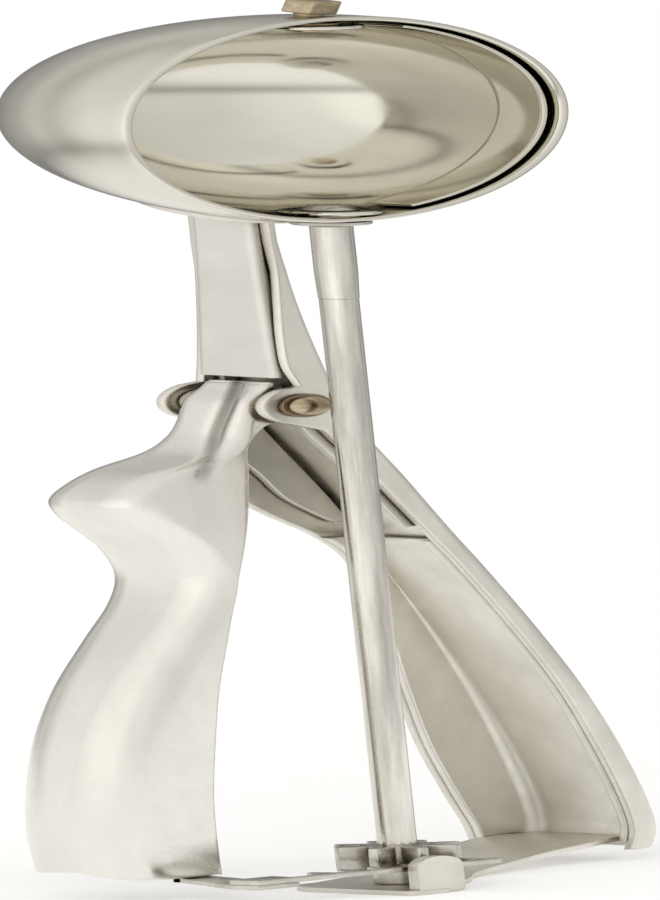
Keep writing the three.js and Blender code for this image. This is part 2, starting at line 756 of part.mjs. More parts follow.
function footPlate() {
  const shape = new THREE.Shape();
  const right = armStations[0].x + seatGap;
  shape.moveTo(right, footFrontY);
  shape.lineTo(right, footBackY);
  shape.lineTo(footLeft + footCorner, footBackY);
  shape.absarc(footLeft + footCorner, footBackY - footCorner, footCorner, Math.PI / 2, Math.PI);
  const frontCentre = footFrontY + footCornerFront;
  shape.lineTo(footLeft, frontCentre);
  shape.absarc(footLeft + footCornerFront, frontCentre, footCornerFront, Math.PI, Math.PI * 3 / 2);
  return extrudeAt(shape, 0, footSheet);
}

// Tab bent up from the plate's front edge, with a half-round top
function tabSolid() {
  const radius = (tabRight - tabLeft) / 2;
  const shape = new THREE.Shape();
  shape.moveTo(tabLeft, 0);
  shape.lineTo(tabRight, 0);
  shape.lineTo(tabRight, tabTop - radius);
  shape.absarc(tabRight - radius, tabTop - radius, radius, 0, Math.PI);
  const geometry = new THREE.ExtrudeGeometry(shape, { depth: tabSheet, bevelEnabled: false, curveSegments });
  geometry.rotateX(Math.PI / 2);
  geometry.translate(0, footFrontY + tabSheet, 0);
  return toSolid(geometry);
}

function linerSolid(outerBody) {
  const sheet = channel(linerStations(), linerSheet, 1).add(armSolid()).add(footPlate()).add(tabSolid());
  return sheet.subtract(rod(shaftRadius + turnGap, -reach, reach)).subtract(outerBody);
}

function spacerSolid() {
  return tube(spacerRadius, shaftRadius + turnGap / 2, footSheet + seatGap, pinionBottom - seatGap);
}

// Pivot hardware
const earNear = frameY - earWidth / 2;
const earFar = frameY + earWidth / 2;

function rivetSolid() {
  const near = earNear - washerThickness - 2 * seatGap;
  const far = earFar + washerThickness + 2 * seatGap;
  const dome = domeSolid(near, -1).add(domeSolid(far, 1));
  return pivotRod(rivetShank, near, far).add(dome);
}

// Low dome on the plane at y, pointing along side
function domeSolid(y, side) {
  const profile = [new THREE.Vector2(0, 0)];
  for (let step = 0; step <= arcSteps; step += 1) {
    const angle = step / arcSteps * Math.PI / 2;
    profile.push(new THREE.Vector2(rivetHead * Math.cos(angle), rivetDome * Math.sin(angle)));
  }
  profile[profile.length - 1].x = 0;
  const geometry = new THREE.LatheGeometry(profile, roundSegments);
  if (side < 0) {
    geometry.rotateX(Math.PI);
  }
  geometry.translate(0, y, pivotHeight);
  return toSolid(geometry);
}

function pivotWasher(side) {
  const outer = side < 0 ? earNear : earFar;
  const near = outer + side * seatGap;
  const far = near + side * washerThickness;
  const disc = pivotRod(washerRadius, Math.min(near, far), Math.max(near, far));
  return disc.subtract(pivotRod(rivetShank + turnGap / 2, -reach, reach));
}

function pivotBushSolid() {
  const half = leverEarWidth / 2 - leverSheet - turnGap;
  const body = pivotRod(pivotBushRadius, frameY - half, frameY + half);
  return body.subtract(pivotRod(rivetShank + turnGap / 2, -reach, reach));
}

// Centre line of the return spring: a leg down the lever's web, the coil, a leg along the outer web
function springPath() {
  const points = [];
  const count = Math.round(springTurns * springSteps);
  for (let step = 0; step <= count; step += 1) {
    const angle = Math.PI - step / springSteps * Math.PI * 2;
    const y = frameY + THREE.MathUtils.lerp(-springLength / 2, springLength / 2, step / count);
    const z = pivotHeight + springRadius * Math.sin(angle);
    points.push(new THREE.Vector3(springRadius * Math.cos(angle), y, z));
  }
  const first = points[0];
  const last = points[count];
  const leverEnd = pivotHeight - springLeverLegDrop;
  const gripEnd = pivotHeight - springGripLegDrop;
  const before = new THREE.Vector3(springLeverLegX, first.y - springWire, leverEnd);
  const after = new THREE.Vector3(springGripLegX, last.y + springWire, gripEnd);
  return [before, ...points, after];
}

function springSolid() {
  const path = springPath();
  const rings = path.map((point, index) => {
    const from = path[Math.max(index - 1, 0)];
    const to = path[Math.min(index + 1, path.length - 1)];
    const forward = to.clone().sub(from).normalize();
    const side = new THREE.Vector3(0, 1, 0).cross(forward).normalize();
    const up = forward.clone().cross(side);
    return wireRing(point, side, up);
  });
  printLeastGap(path);
  const flatRing = wireRing(new THREE.Vector3(), new THREE.Vector3(1, 0, 0), new THREE.Vector3(0, 1, 0));
  return loftSolid(rings, flatRing);
}

function wireRing(centre, side, up) {
  const ring = [];
  for (let step = 0; step < springSides; step += 1) {
    const angle = step / springSides * Math.PI * 2;
    const offset = side.clone().multiplyScalar(springWire * Math.cos(angle));
    offset.addScaledVector(up, springWire * Math.sin(angle));
    ring.push(centre.clone().add(offset));
  }
  return ring;
}

function printLeastGap(path) {
  let least = Infinity;
  for (let a = 0; a < path.length; a += 1) {
    for (let b = a + springSteps / 2; b < path.length; b += 1) {
      least = Math.min(least, path[a].distanceTo(path[b]) - 2 * springWire);
    }
  }
  console.log(`return_spring least gap to itself ${least.toFixed(2)} mm`);
}

// Finishes
const steel = { color: 0xc8c6c2, roughness: 0.28, metalness: 1 };
const polished = { color: 0xd4d1cc, roughness: 0.16, metalness: 1 };
const satin = { color: 0xb9b6b0, roughness: 0.38, metalness: 1 };
const brass = { color: 0xb89a5c, roughness: 0.34, metalness: 1 };
const darkBrass = { color: 0x8a6f42, roughness: 0.45, metalness: 1 };
const springSteel = { color: 0x8f9094, roughness: 0.4, metalness: 1 };

const scoop = new THREE.Group();

function addPiece(name, solid, finish) {
  const mesh = new THREE.Mesh(toGeometry(solid), new THREE.MeshStandardMaterial(finish));
  mesh.name = name;
  scoop.add(mesh);
}

const gripBody = gripSolid();

addPiece('bowl', bowlSolid(), polished);
addPiece('bowl_saddle', saddleSolid(), steel);
addPiece('bowl_bush', bushSolid(), steel);
addPiece('scraper', scraperSolid(), steel);
addPiece('scraper_boss', bossSolid(), steel);
addPiece('top_pin', topPegSolid(), brass);
addPiece('top_washer', topWasherSolid(), brass);
addPiece('shaft', shaftSolid(), steel);
addPiece('shaft_sleeve', sleeveSolid(), steel);
addPiece('pinion', pinionSolid(), satin);
addPiece('foot_spacer', spacerSolid(), satin);
addPiece('stem', stemSolid(), steel);
addPiece('fixed_grip', gripBody, satin);
addPiece('grip_liner', linerSolid(gripBody), steel);
addPiece('lever', leverSolid(), polished);
addPiece('rack', rackSolid(), satin);
addPiece('pivot_rivet', rivetSolid(), brass);
addPiece('front_washer', pivotWasher(-1), darkBrass);
addPiece('back_washer', pivotWasher(1), darkBrass);
addPiece('pivot_bush', pivotBushSolid(), steel);
addPiece('return_spring', springSolid(), springSteel);

// The part's origin is the foot of its bounding box, in the middle
const bounds = new THREE.Box3().setFromObject(scoop);
const centre = bounds.getCenter(new THREE.Vector3());
scoop.position.set(-centre.x, -centre.y, -bounds.min.z);

export default scoop;
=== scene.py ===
import bpy
import bmesh
from math import asin, ceil, cos, exp, hypot, pi, radians, sin, sqrt, tan, tau
from mathutils import Matrix, Vector


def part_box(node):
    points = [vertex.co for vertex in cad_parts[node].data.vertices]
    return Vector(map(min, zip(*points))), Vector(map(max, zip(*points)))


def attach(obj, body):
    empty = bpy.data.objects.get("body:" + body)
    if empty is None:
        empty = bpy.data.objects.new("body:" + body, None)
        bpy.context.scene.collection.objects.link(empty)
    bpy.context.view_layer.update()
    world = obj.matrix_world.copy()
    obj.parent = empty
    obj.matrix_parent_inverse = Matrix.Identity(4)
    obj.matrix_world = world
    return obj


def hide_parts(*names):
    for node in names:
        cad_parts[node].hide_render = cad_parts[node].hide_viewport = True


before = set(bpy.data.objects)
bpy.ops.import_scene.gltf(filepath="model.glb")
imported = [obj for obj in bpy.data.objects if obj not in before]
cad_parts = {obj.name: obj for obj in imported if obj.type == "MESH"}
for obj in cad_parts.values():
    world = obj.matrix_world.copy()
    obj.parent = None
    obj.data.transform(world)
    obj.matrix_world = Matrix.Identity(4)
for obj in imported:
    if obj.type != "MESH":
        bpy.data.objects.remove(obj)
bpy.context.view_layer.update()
print("scoop: frame loaded with", len(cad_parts), "nodes")

mm = 0.001
shaftLow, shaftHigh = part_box("shaft")
axis = Vector(((shaftLow[0] + shaftHigh[0]) / 2, (shaftLow[1] + shaftHigh[1]) / 2, 0))
collection = bpy.context.scene.collection


# Every length below is in millimetres, measured from the shaft's axis and the foot's underside
def place(x, y, z):
    return Vector((x * mm, y * mm, z * mm)) + axis


def linked(name, data):
    thing = bpy.data.objects.new(name, data)
    collection.objects.link(thing)
    return thing


# The camera comes first
viewing = {"azimuth": -45.3, "elevation": 11, "roll": 2, "stretch": 3.07, "distance": 6.5,
           "height": 217.4, "aimAcross": -1.97, "aimUp": 106.1}


def makeCamera(look):
    # The photograph is widened sideways, so the camera's film plane is slanted by the same share
    around, up = radians(look["azimuth"]), radians(look["elevation"])
    back = Vector((sin(around) * cos(up), -cos(around) * cos(up), sin(up)))
    flat = Vector((cos(around), sin(around), 0))
    tall = back.cross(flat)
    roll = radians(look["roll"])
    right = flat * cos(roll) - tall * sin(roll)
    rise = tall * cos(roll) + flat * sin(roll)
    target = axis + flat * look["aimAcross"] * mm + tall * look["aimUp"] * mm
    narrow = 1 / look["stretch"]
    slant = Matrix.Identity(4)
    slant[0][0] = narrow
    slant[2][0] = sqrt(1 - narrow * narrow)
    turned = Matrix((right, rise, back)).transposed().to_4x4()
    camera = linked("photoCamera", bpy.data.cameras.new("photoCamera"))
    camera.parent = linked("photoCameraRig", None)
    camera.matrix_parent_inverse = Matrix.Translation(target + back * look["distance"]) @ turned @ slant
    camera.data.lens = camera.data.sensor_width * look["distance"] / (look["height"] * mm)
    camera.data.clip_start, camera.data.clip_end = 0.1, 100
    bpy.context.scene.camera = camera


makeCamera(viewing)


# Mesh helpers
def smoothed(mesh, sharpAngle):
    for face in mesh.polygons:
        face.use_smooth = True
    mesh.set_sharp_from_angle(angle=radians(sharpAngle))


def reworked(mesh, change):
    # Hands the mesh over for a change and takes it back
    work = bmesh.new()
    work.from_mesh(mesh)
    change(work)
    work.to_mesh(mesh)
    work.free()


def meshPiece(name, points, faces, sharpAngle=35):
    mesh = bpy.data.meshes.new(name)
    mesh.from_pydata([tuple(point) for point in points], [], faces)
    mesh.update()
    piece = linked(name, mesh)
    smoothed(mesh, sharpAngle)
    return piece


def gridPiece(name, rows, face, toward):
    # Rows of points make one open sheet, turned so that the numbered face looks toward a direction
    width = len(rows[0])
    points = [point for row in rows for point in row]
    corners = [row * width + column for row in range(len(rows) - 1) for column in range(width - 1)]
    faces = [(first, first + 1, first + 1 + width, first + width) for first in corners]
    start, across, _, along = (points[index] for index in faces[face])
    if (across - start).cross(along - start).dot(Vector(toward)) < 0:
        faces = [face[::-1] for face in faces]
    return meshPiece(name, points, faces, 80)


def thickened(piece, sheet, edge):
    solid = piece.modifiers.new("sheet", "SOLIDIFY")
    solid.thickness, solid.offset = sheet * mm, -1
    solid.use_even_offset = solid.use_quality_normals = True
    softEdge(piece, edge, 3, 50)
    return finished(piece)


def softEdge(piece, width, segments=2, angle=35):
    bevel = piece.modifiers.new("edges", "BEVEL")
    bevel.width, bevel.segments = width * mm, segments
    bevel.limit_method, bevel.angle_limit = "ANGLE", radians(angle)


def finished(piece):
    # Applies the modifiers, so that the piece is one plain mesh
    graph = bpy.context.evaluated_depsgraph_get()
    mesh = bpy.data.meshes.new_from_object(piece.evaluated_get(graph))
    old = piece.data
    piece.modifiers.clear()
    piece.data = mesh
    mesh.name = piece.name
    bpy.data.meshes.remove(old)
    smoothed(mesh, 40)
    return piece


def joined(name, pieces):
    work = bmesh.new()
    for piece in pieces:
        work.from_mesh(piece.data)
    mesh = bpy.data.meshes.new(name)
    work.to_mesh(mesh)
    work.free()
    smoothed(mesh, 40)
    for piece in pieces:
        spare = piece.data
        bpy.data.objects.remove(piece)
        bpy.data.meshes.remove(spare)
    return linked(name, mesh)


def turnedPiece(name, profile, centre=(0, 0, 0), direction="z", segments=64, closed=False):
    # A lathe: profile holds (radius, height) pairs; a closed profile is a ring's section
    points, faces = [], []
    count = len(profile)
    for step in range(segments):
        angle = step / segments * tau
        for radius, height in profile:
            a, b = radius * cos(angle), radius * sin(angle)
            spot = (a, b, height) if direction == "z" else (a, height, b)
            points.append(place(*[centre[i] + spot[i] for i in range(3)]))
        here, there = step * count, (step + 1) % segments * count
        for index in range(count if closed else count - 1):
            after = (index + 1) % count
            faces.append((here + index, there + index, there + after, here + after))

    def closePoles(work):
        bmesh.ops.remove_doubles(work, verts=work.verts, dist=1e-7)
        bmesh.ops.dissolve_degenerate(work, edges=work.edges, dist=1e-8)
        bmesh.ops.recalc_face_normals(work, faces=work.faces)

    piece = meshPiece(name, points, faces)
    reworked(piece.data, closePoles)
    smoothed(piece.data, 35)
    return piece


def quarterTurn(count):
    return [pi / 2 * step / count for step in range(count + 1)]


def roundedRod(radius, bottom, top, chamfer):
    return [(0, bottom), (radius - chamfer, bottom), (radius - chamfer * 0.3, bottom + chamfer * 0.3),
            (radius, bottom + chamfer), (radius, top - chamfer), (radius - chamfer * 0.3, top - chamfer * 0.3),
            (radius - chamfer, top), (0, top)]


def ringPiece(name, outer, inner, bottom, top, chamfer, *turning):
    section = [(inner, bottom), (outer - chamfer, bottom), (outer, bottom + chamfer),
               (outer, top - chamfer), (outer - chamfer, top), (inner, top)]
    return turnedPiece(name, section, *turning, closed=True)


def blendValue(before, start, end, after, share):
    square, cube = share * share, share ** 3
    return (start * (2 * cube - 3 * square + 1) + (end - before) / 2 * (cube - 2 * square + share)
            + end * (3 * square - 2 * cube) + (after - start) / 2 * (cube - square))


def fineRows(rows, step):
    fine = []
    for index in range(len(rows) - 1):
        before, after = rows[max(index - 1, 0)], rows[min(index + 2, len(rows) - 1)]
        start, end = rows[index], rows[index + 1]
        count = max(2, ceil(abs(end[0] - start[0]) / step))
        for part in range(count):
            fine.append([blendValue(*group, part / count) for group in zip(before, start, end, after)])
    fine.append(list(rows[-1]))
    return fine


handle = {"frameY": 11.1, "pivotHeight": 118.4}
frameY, pivotHeight = handle.values()
counts = {"wall": 18, "corner": 8, "web": 22, "lip": 3, "rowStep": 0.6}
limits = {"corner": 0.9, "leastCorner": 0.1, "innerCorner": 0.125, "lip": 0.8, "leastLip": 0.02, "inset": 0.98}


def channelLine(web, width, radius, front, back, towards):
    # Front wall, rounded corner, web, rounded corner, back wall
    half = width / 2
    radius = max(min(radius, half * limits["corner"]), limits["leastCorner"])
    wallEnd = web - towards * radius
    turns = quarterTurn(counts["corner"])[:-1]
    wall, flat = counts["wall"], counts["web"]
    line = [(front + (wallEnd - front) * step / wall, -half) for step in range(wall)]
    line += [(wallEnd + towards * radius * sin(angle), radius - half - radius * cos(angle)) for angle in turns]
    line += [(web, (radius - half) + (width - 2 * radius) * step / flat) for step in range(flat)]
    line += [(wallEnd + towards * radius * cos(angle), half - radius + radius * sin(angle)) for angle in turns]
    return line + [(wallEnd + (back - wallEnd) * step / wall, half) for step in range(wall + 1)]


def lipArc(edge, half, sheet, lip, inset, towards):
    # Rounded free edge, from the outer face over to the inner one
    soft = lip - inset
    turns = quarterTurn(counts["lip"])[1:]
    outer = [(angle, half - lip + soft * cos(angle)) for angle in turns]
    inner = [(angle, half - sheet + lip - soft * cos(angle)) for angle in turns[::-1]]
    return [(edge + towards * (lip - soft * sin(angle)), level) for angle, level in outer + inner]


def channelLoop(row, sheet, towards, edge, inset, press):
    height, web, width, radius, front, back = row
    leastRound = sheet * limits["innerCorner"]
    innerRound = max(radius - sheet, leastRound)
    innerEnd = web - towards * (sheet + innerRound)
    room = min(towards * (innerEnd - front), towards * (innerEnd - back))
    lip = max(limits["leastLip"], min(edge, limits["lip"] * room))
    inset = min(inset, lip * limits["inset"])
    outer, inner = (channelLine(web - towards * depth, width - 2 * depth, max(radius - depth, leastRound),
                                front + towards * lip, back + towards * lip, towards)
                    for depth in (inset, sheet - inset))
    if press:
        press(height, outer, inner)
    half = width / 2
    backLip = lipArc(back, half, sheet, lip, inset, towards)
    frontLip = [(x, -y) for x, y in reversed(lipArc(front, half, sheet, lip, inset, towards))]
    return [[x, y + frameY, height] for x, y in outer + backLip + inner[::-1] + frontLip]


def earEdge(height, radius):
    # The ear is round above and runs out along a straight slope below
    drop = height - pivotHeight
    tail = radians(60)
    if drop > radius:
        return None
    if drop > -radius * sin(tail):
        return sqrt(radius * radius - drop * drop)
    return radius * cos(tail) - (-radius * sin(tail) - drop) * tan(tail)


def withEar(row, towards, radius):
    reach = earEdge(row[0], radius)
    if reach is None or reach < -radius:
        return row
    pick = min if towards > 0 else max
    return row[:-2] + [pick(row[-2], -towards * reach), pick(row[-1], -towards * reach)]


def endRows(rows, edge, ends):
    # Adds the rounded rows of both ends; each row comes back with its inset
    top, bottom = rows[0][0], rows[-1][0]
    low, high = (bottom + edge if ends[1] else bottom - 1), (top - edge if ends[0] else top + 1)
    inner = [(row, 0) for row in rows if low < row[0] < high]
    lips = [(edge * sin(angle), edge * (1 - cos(angle))) for angle in quarterTurn(counts["lip"])]
    first = [([top - edge + rise, *rows[0][1:]], inset) for rise, inset in lips[::-1] if ends[0]]
    last = [([bottom + edge - rise, *rows[-1][1:]], inset) for rise, inset in lips if ends[1]]
    return first + inner + last


def loopPiece(name, loops, half):
    # Closed shell from rings of points; half is the number of points on the outer face
    count = len(loops[0])
    points = [place(*spot) for loop in loops for spot in loop]
    faces = []
    for first in range(0, (len(loops) - 1) * count, count):
        for column in range(count):
            after = (column + 1) % count
            faces.append((first + column, first + after, first + count + after, first + count + column))
    lips = (count - 2 * half) // 2
    for base in (0, (len(loops) - 1) * count):
        for column in range(half - 1):
            across = 2 * half + lips - 1 - column
            faces.append((base + column, base + column + 1, base + across - 1, base + across))
        for corner in (half - 1, 2 * half + lips - 1):
            faces.append(tuple(base + (corner + step) % count for step in range(lips + 2)))
    piece = meshPiece(name, points, faces)
    reworked(piece.data, lambda work: bmesh.ops.recalc_face_normals(work, faces=work.faces))
    smoothed(piece.data, 50)
    return piece


def channelPiece(name, rows, look, towards, ends=(True, True), ear=None, shape=None, press=None):
    fine = fineRows(rows, counts["rowStep"])
    loops = []
    for row, inset in endRows(fine, look["edge"], ends):
        if ear:
            row = withEar(list(row), towards, ear)
        loops.append(channelLoop(row, look["sheet"], towards, look["edge"], inset, press))
    if shape:
        for loop in loops:
            shape(loop)
    half = 2 * counts["wall"] + 2 * counts["corner"] + counts["web"] + 1
    return loopPiece(name, loops, half)


# Bowl: a half ball with a short collar and a ground rim
bowl = {"radius": 25, "wall": 1.1, "height": 189.3, "collar": 3.4, "arcSteps": 56, "segments": 160}


def makeBowl(look):
    outer, wall = look["radius"], look["wall"]
    inner, lowest = outer - wall, wall / 2 - look["collar"]
    quarter = quarterTurn(look["arcSteps"])
    collar = [lowest * step / 3 for step in range(1, 4)]
    profile = [(outer * sin(angle), outer * cos(angle)) for angle in quarter]
    profile += [(outer, y) for y in collar]
    profile += [((outer + inner) / 2 + wall / 2 * cos(pi * step / 8), lowest - wall / 2 * sin(pi * step / 8))
                for step in range(1, 8)]
    profile += [(inner, y) for y in collar[::-1]]
    profile += [(inner * sin(angle), inner * cos(angle)) for angle in quarter[::-1]]
    return turnedPiece("bowlShell", profile, (0, 0, look["height"]), "y", look["segments"])


bowlShell = makeBowl(bowl)
print("scoop: bowl turned")

# Saddle between the bowl and the stem
saddle = {"radius": 7.5, "sheet": 1.1, "gap": 0.3, "across": -0.4, "rings": 14, "segments": 72, "middle": 0.05,
          "edge": 0.3, "fitLength": 12}


def makeSaddle(look):
    ball = bowl["radius"] + look["gap"] + look["sheet"]
    rows = []
    for ring in range(look["rings"] + 1):
        radius = max(look["radius"] * ring / look["rings"], look["middle"])
        line = []
        for step in range(look["segments"] + 1):
            angle = tau * step / look["segments"]
            x = look["across"] + radius * cos(angle)
            y = frameY + radius * sin(angle)
            line.append(place(x, y, bowl["height"] - sqrt(ball * ball - x * x - y * y)))
        rows.append(line)
    piece = gridPiece("bowlSaddle", rows, look["segments"] * 5, (0, 0, -1))
    middle = place(look["across"], frameY, 0).xy

    def closeMiddle(work):
        bmesh.ops.remove_doubles(work, verts=work.verts, dist=1e-7)
        rims = [edge for edge in work.edges if edge.is_boundary]
        hole = [edge for edge in rims if (edge.verts[0].co.xy - middle).length < mm]
        bmesh.ops.contextual_create(work, geom=hole)

    reworked(piece.data, closeMiddle)
    return thickened(piece, look["sheet"], look["edge"])


bowlSaddle = makeSaddle(saddle)

# Bush, scraper, boss, peg and washer: the scraper's bearings at the bottom and top of the bowl
scraper = {"sheet": 0.55, "clearance": 0.4, "front": -2.4, "back": 2.8, "eyelet": 4.3, "eyeletSheet": 0.8,
           "eyeletEdge": 0.2, "edge": 0.15, "steps": 90, "columns": 10}
bearing = {"bushRadius": 2.5, "flange": 3.3, "flangeSheet": 0.9, "flangeEdge": 0.25, "flangeSlope": 0.1,
           "seat": 0.05, "turn": 0.3, "neck": 1.25, "play": 0.3,
           "boss": [(0, 0), (2.25, 0), (2.4, 0.12), (1.9, 0.6), (1.3, 1), (1, 1.1), (0, 1.1)],
           "washer": 2.4, "washerHole": 1.35, "washerSheet": 0.5, "washerEdge": 0.12, "shank": 1.2}
peg = {"width": 3.3, "height": 3.4, "lift": 0.5, "tilt": 10, "bevel": 0.35, "shankRise": 1.7, "shankEdge": 0.2,
       "foot": 2.05, "footSheet": 0.75, "footEdge": 0.25}
innerBall = bowl["radius"] - bowl["wall"]
eyeletBottom = bowl["height"] - sqrt(innerBall ** 2 - scraper["eyelet"] ** 2) + bearing["turn"]
eyeletTop = eyeletBottom + scraper["eyeletSheet"]
bushBottom = bowl["height"] - bowl["radius"] - bearing["flangeSheet"] - bearing["seat"]
upperEyeletTop = bowl["height"] + innerBall - bearing["washerSheet"] - 2 * bearing["turn"]
upperEyeletBottom = upperEyeletTop - scraper["eyeletSheet"]


def makeScraper(look):
    ball = innerBall - look["clearance"]
    low, high = (asin((edge - bowl["height"]) / ball) for edge in (eyeletTop, upperEyeletBottom))
    rows = []
    for step in range(look["steps"] + 1):
        angle = low + (high - low) * step / look["steps"]
        line = []
        for column in range(look["columns"] + 1):
            y = look["front"] + (look["back"] - look["front"]) * column / look["columns"]
            radius = sqrt(ball * ball - y * y)
            line.append(place(radius * cos(angle), y, bowl["height"] + radius * sin(angle)))
        rows.append(line)
    band = gridPiece("scraperStrip", rows, look["columns"] * look["steps"] // 2, (1, 0, 0))
    eyelets = [ringPiece("scraperEyelet", look["eyelet"], bearing["shank"] + bearing["play"], bottom,
                         bottom + look["eyeletSheet"], look["eyeletEdge"])
               for bottom in (eyeletBottom, upperEyeletBottom)]
    return joined("scraperBand", [thickened(band, look["sheet"], look["edge"]), *eyelets])


def makePeg(look):
    turn, tilt = Matrix.Rotation(radians(45), 4, "Z"), Matrix.Rotation(radians(look["tilt"]), 4, "X")
    scale = Matrix.Diagonal((look["width"] * mm, look["width"] * mm, look["height"] * mm, 1))
    lift = Matrix.Translation((0, 0, look["height"] * mm / 2))
    seat = Matrix.Translation(place(0, 0, bowl["height"] + bowl["radius"] + look["lift"]))

    def shapeHead(work):
        bmesh.ops.create_cube(work, size=1)
        work.transform(seat @ turn @ tilt @ turn.inverted() @ lift @ scale)
        bmesh.ops.subdivide_edges(work, edges=work.edges, cuts=2, use_grid_fill=True)

    head = meshPiece("pegHead", [], [])
    reworked(head.data, shapeHead)
    softEdge(head, look["bevel"], 4)
    shankTop = bowl["height"] + bowl["radius"] + look["shankRise"]
    shankBottom = upperEyeletBottom - bearing["play"]
    shank = turnedPiece("pegShank", roundedRod(bearing["shank"], shankBottom, shankTop, look["shankEdge"]))
    footTop = upperEyeletBottom - bearing["seat"]
    foot = turnedPiece("pegFoot", roundedRod(look["foot"], footTop - look["footSheet"], footTop,
                                              look["footEdge"]))
    return joined("topPeg", [finished(head), shank, foot])


scraperBand = makeScraper(scraper)
topPeg = makePeg(peg)
bushTop = eyeletBottom - bearing["seat"]
bushFlangeTop = bushBottom + bearing["flangeSheet"]
bushHole = bearing["neck"] + bearing["play"]
flange, flangeEdge = bearing["flange"], bearing["flangeEdge"]
bowlBush = turnedPiece("bowlBush", [
    (bushHole, bushBottom), (flange - flangeEdge, bushBottom), (flange, bushBottom + flangeEdge),
    (flange, bushFlangeTop - bearing["flangeSlope"]), (bearing["bushRadius"], bushFlangeTop),
    (bearing["bushRadius"], bushTop), (bushHole, bushTop)], closed=True)
bossBottom = eyeletTop + bearing["seat"]
scraperBoss = turnedPiece("scraperBoss", [(radius, bossBottom + rise) for radius, rise in bearing["boss"]])
washerBottom = upperEyeletTop + bearing["seat"]
topWasher = ringPiece("topWasher", bearing["washer"], bearing["washerHole"], washerBottom,
                      washerBottom + bearing["washerSheet"], bearing["washerEdge"])
print("scoop: scraper and its bearings made")

# Shaft, sleeve, spacer
shaft = {"radius": 1.6, "neck": 1.25, "start": 0.2, "edge": 0.25, "rings": (60, 110), "sleeveStart": 145.3,
         "sleeveRadius": 1.75, "taperEnd": 152, "sleeveEdge": 0.15, "gap": 0.05}
rod, neck, joint = shaft["radius"], shaft["neck"], shaft["sleeveStart"]
start, soft, gap = shaft["start"], shaft["edge"], shaft["gap"]
drivingShaft = turnedPiece("drivingShaft", [
    (0, start), (rod - soft, start), (rod, start + soft), *[(rod, height) for height in shaft["rings"]],
    (rod, joint - 2 * gap), (rod - gap, joint - gap), (neck, joint - gap), (neck, eyeletTop),
    (0, eyeletTop)], segments=72)
sleeve, sleeveEnd, soft = shaft["sleeveRadius"], bushBottom - bearing["turn"], shaft["sleeveEdge"]
shaftSleeve = turnedPiece("shaftSleeve", [
    (neck + gap, joint), (rod, joint), (rod + 0.8 * gap, joint + gap), (sleeve, shaft["taperEnd"]),
    (sleeve, sleeveEnd - soft), (sleeve - soft, sleeveEnd), (neck + gap, sleeveEnd)], segments=72, closed=True)
spacer = {"outer": 2.2, "inner": 1.75, "bottom": 1.25, "top": 5.05, "edge": 0.15}
footSpacer = ringPiece("footSpacer", *spacer.values())

# Fixed grip, stem and liner; each row is height, web, width, corner radius, front edge, back edge
grip = {
    "sheet": 1, "edge": 0.3, "ear": 4.5,
    "rows": [
        (168.6, 0.97, 8.75, 0.8, -0.18, -0.18), (158.5, 1.05, 8.9, 0.8, -0.1, -0.1),
        (151, 1.5, 9.2, 0.8, 0, 0), (143, 2.1, 9.6, 0.8, -0.3, 0), (135, 2.9, 10.2, 0.9, -0.7, 0),
        (128, 3.6, 10.9, 0.9, -0.8, 0), (123, 4.1, 11.6, 1, 0, 0), (118.4, 4.9, 11.8, 1, 0.4, 0),
        (112, 6.4, 11.8, 1, 2.2, -2), (105.9, 8.7, 11.8, 1.1, 4.6, -2.4), (98.3, 11.5, 11.8, 1.3, 7.6, 0),
        (90.5, 14.1, 11.9, 1.5, 10.5, 5), (82.8, 16.7, 12.1, 1.7, 13.3, 11.4),
        (75.3, 19.2, 12.7, 2, 15.8, 15.2), (60, 24, 13.7, 2.5, 20.4, 17.8), (44.8, 28.3, 14.7, 3, 24.4, 19.8),
        (29.7, 31.8, 15.4, 3.5, 27.4, 22), (16.5, 34.2, 15.8, 3.8, 29.6, 24.8), (8, 35, 16, 3.8, 30.4, 26.8),
        (2.9, 34.2, 16, 3.8, 29.6, 27.4),
    ],
}
stem = {
    "sheet": 0.8, "edge": 0.22,
    "rows": [
        (168.4, -1.1, 6.55, 0.7, -0.15, -0.15), (158.5, -1.1, 6.7, 0.7, -0.12, -0.12),
        (150, -1.1, 6.95, 0.7, 0.2, 0.2), (136, -1.1, 7.8, 0.7, 1, 1), (124.9, -1.1, 8.6, 0.7, 2, 2),
    ],
    "wallRows": [  # height, web, width, front wall's edge, back wall's edge
        (124.9, 2.6, 8.6, 1, 1), (121.8, 3, 9.3, 1.5, 1.5), (118.8, 3.4, 9.6, 0.6, 0.6),
        (112.5, 4.9, 9.6, 0.9, -1.2), (106, 7.1, 9.6, 3.4, 1.4), (99.5, 9.5, 9.6, 6.2, 4.4),
        (93, 11.8, 9.6, 8.5, 7.2), (86.5, 13.9, 9.6, 10.8, 12.2),
    ],
    "ear": 3.1,
}


def stopAtSaddle(loop):
    # The upper end follows the saddle's ball
    ball = bowl["radius"] + saddle["sheet"] + 2 * saddle["gap"]
    top = grip["rows"][0][0]
    for spot in loop:
        limit = bowl["height"] - sqrt(max(ball * ball - spot[0] ** 2 - spot[1] ** 2, 0))
        spot[2] += (limit - top) * max(0, 1 - (top - spot[2]) / saddle["fitLength"])


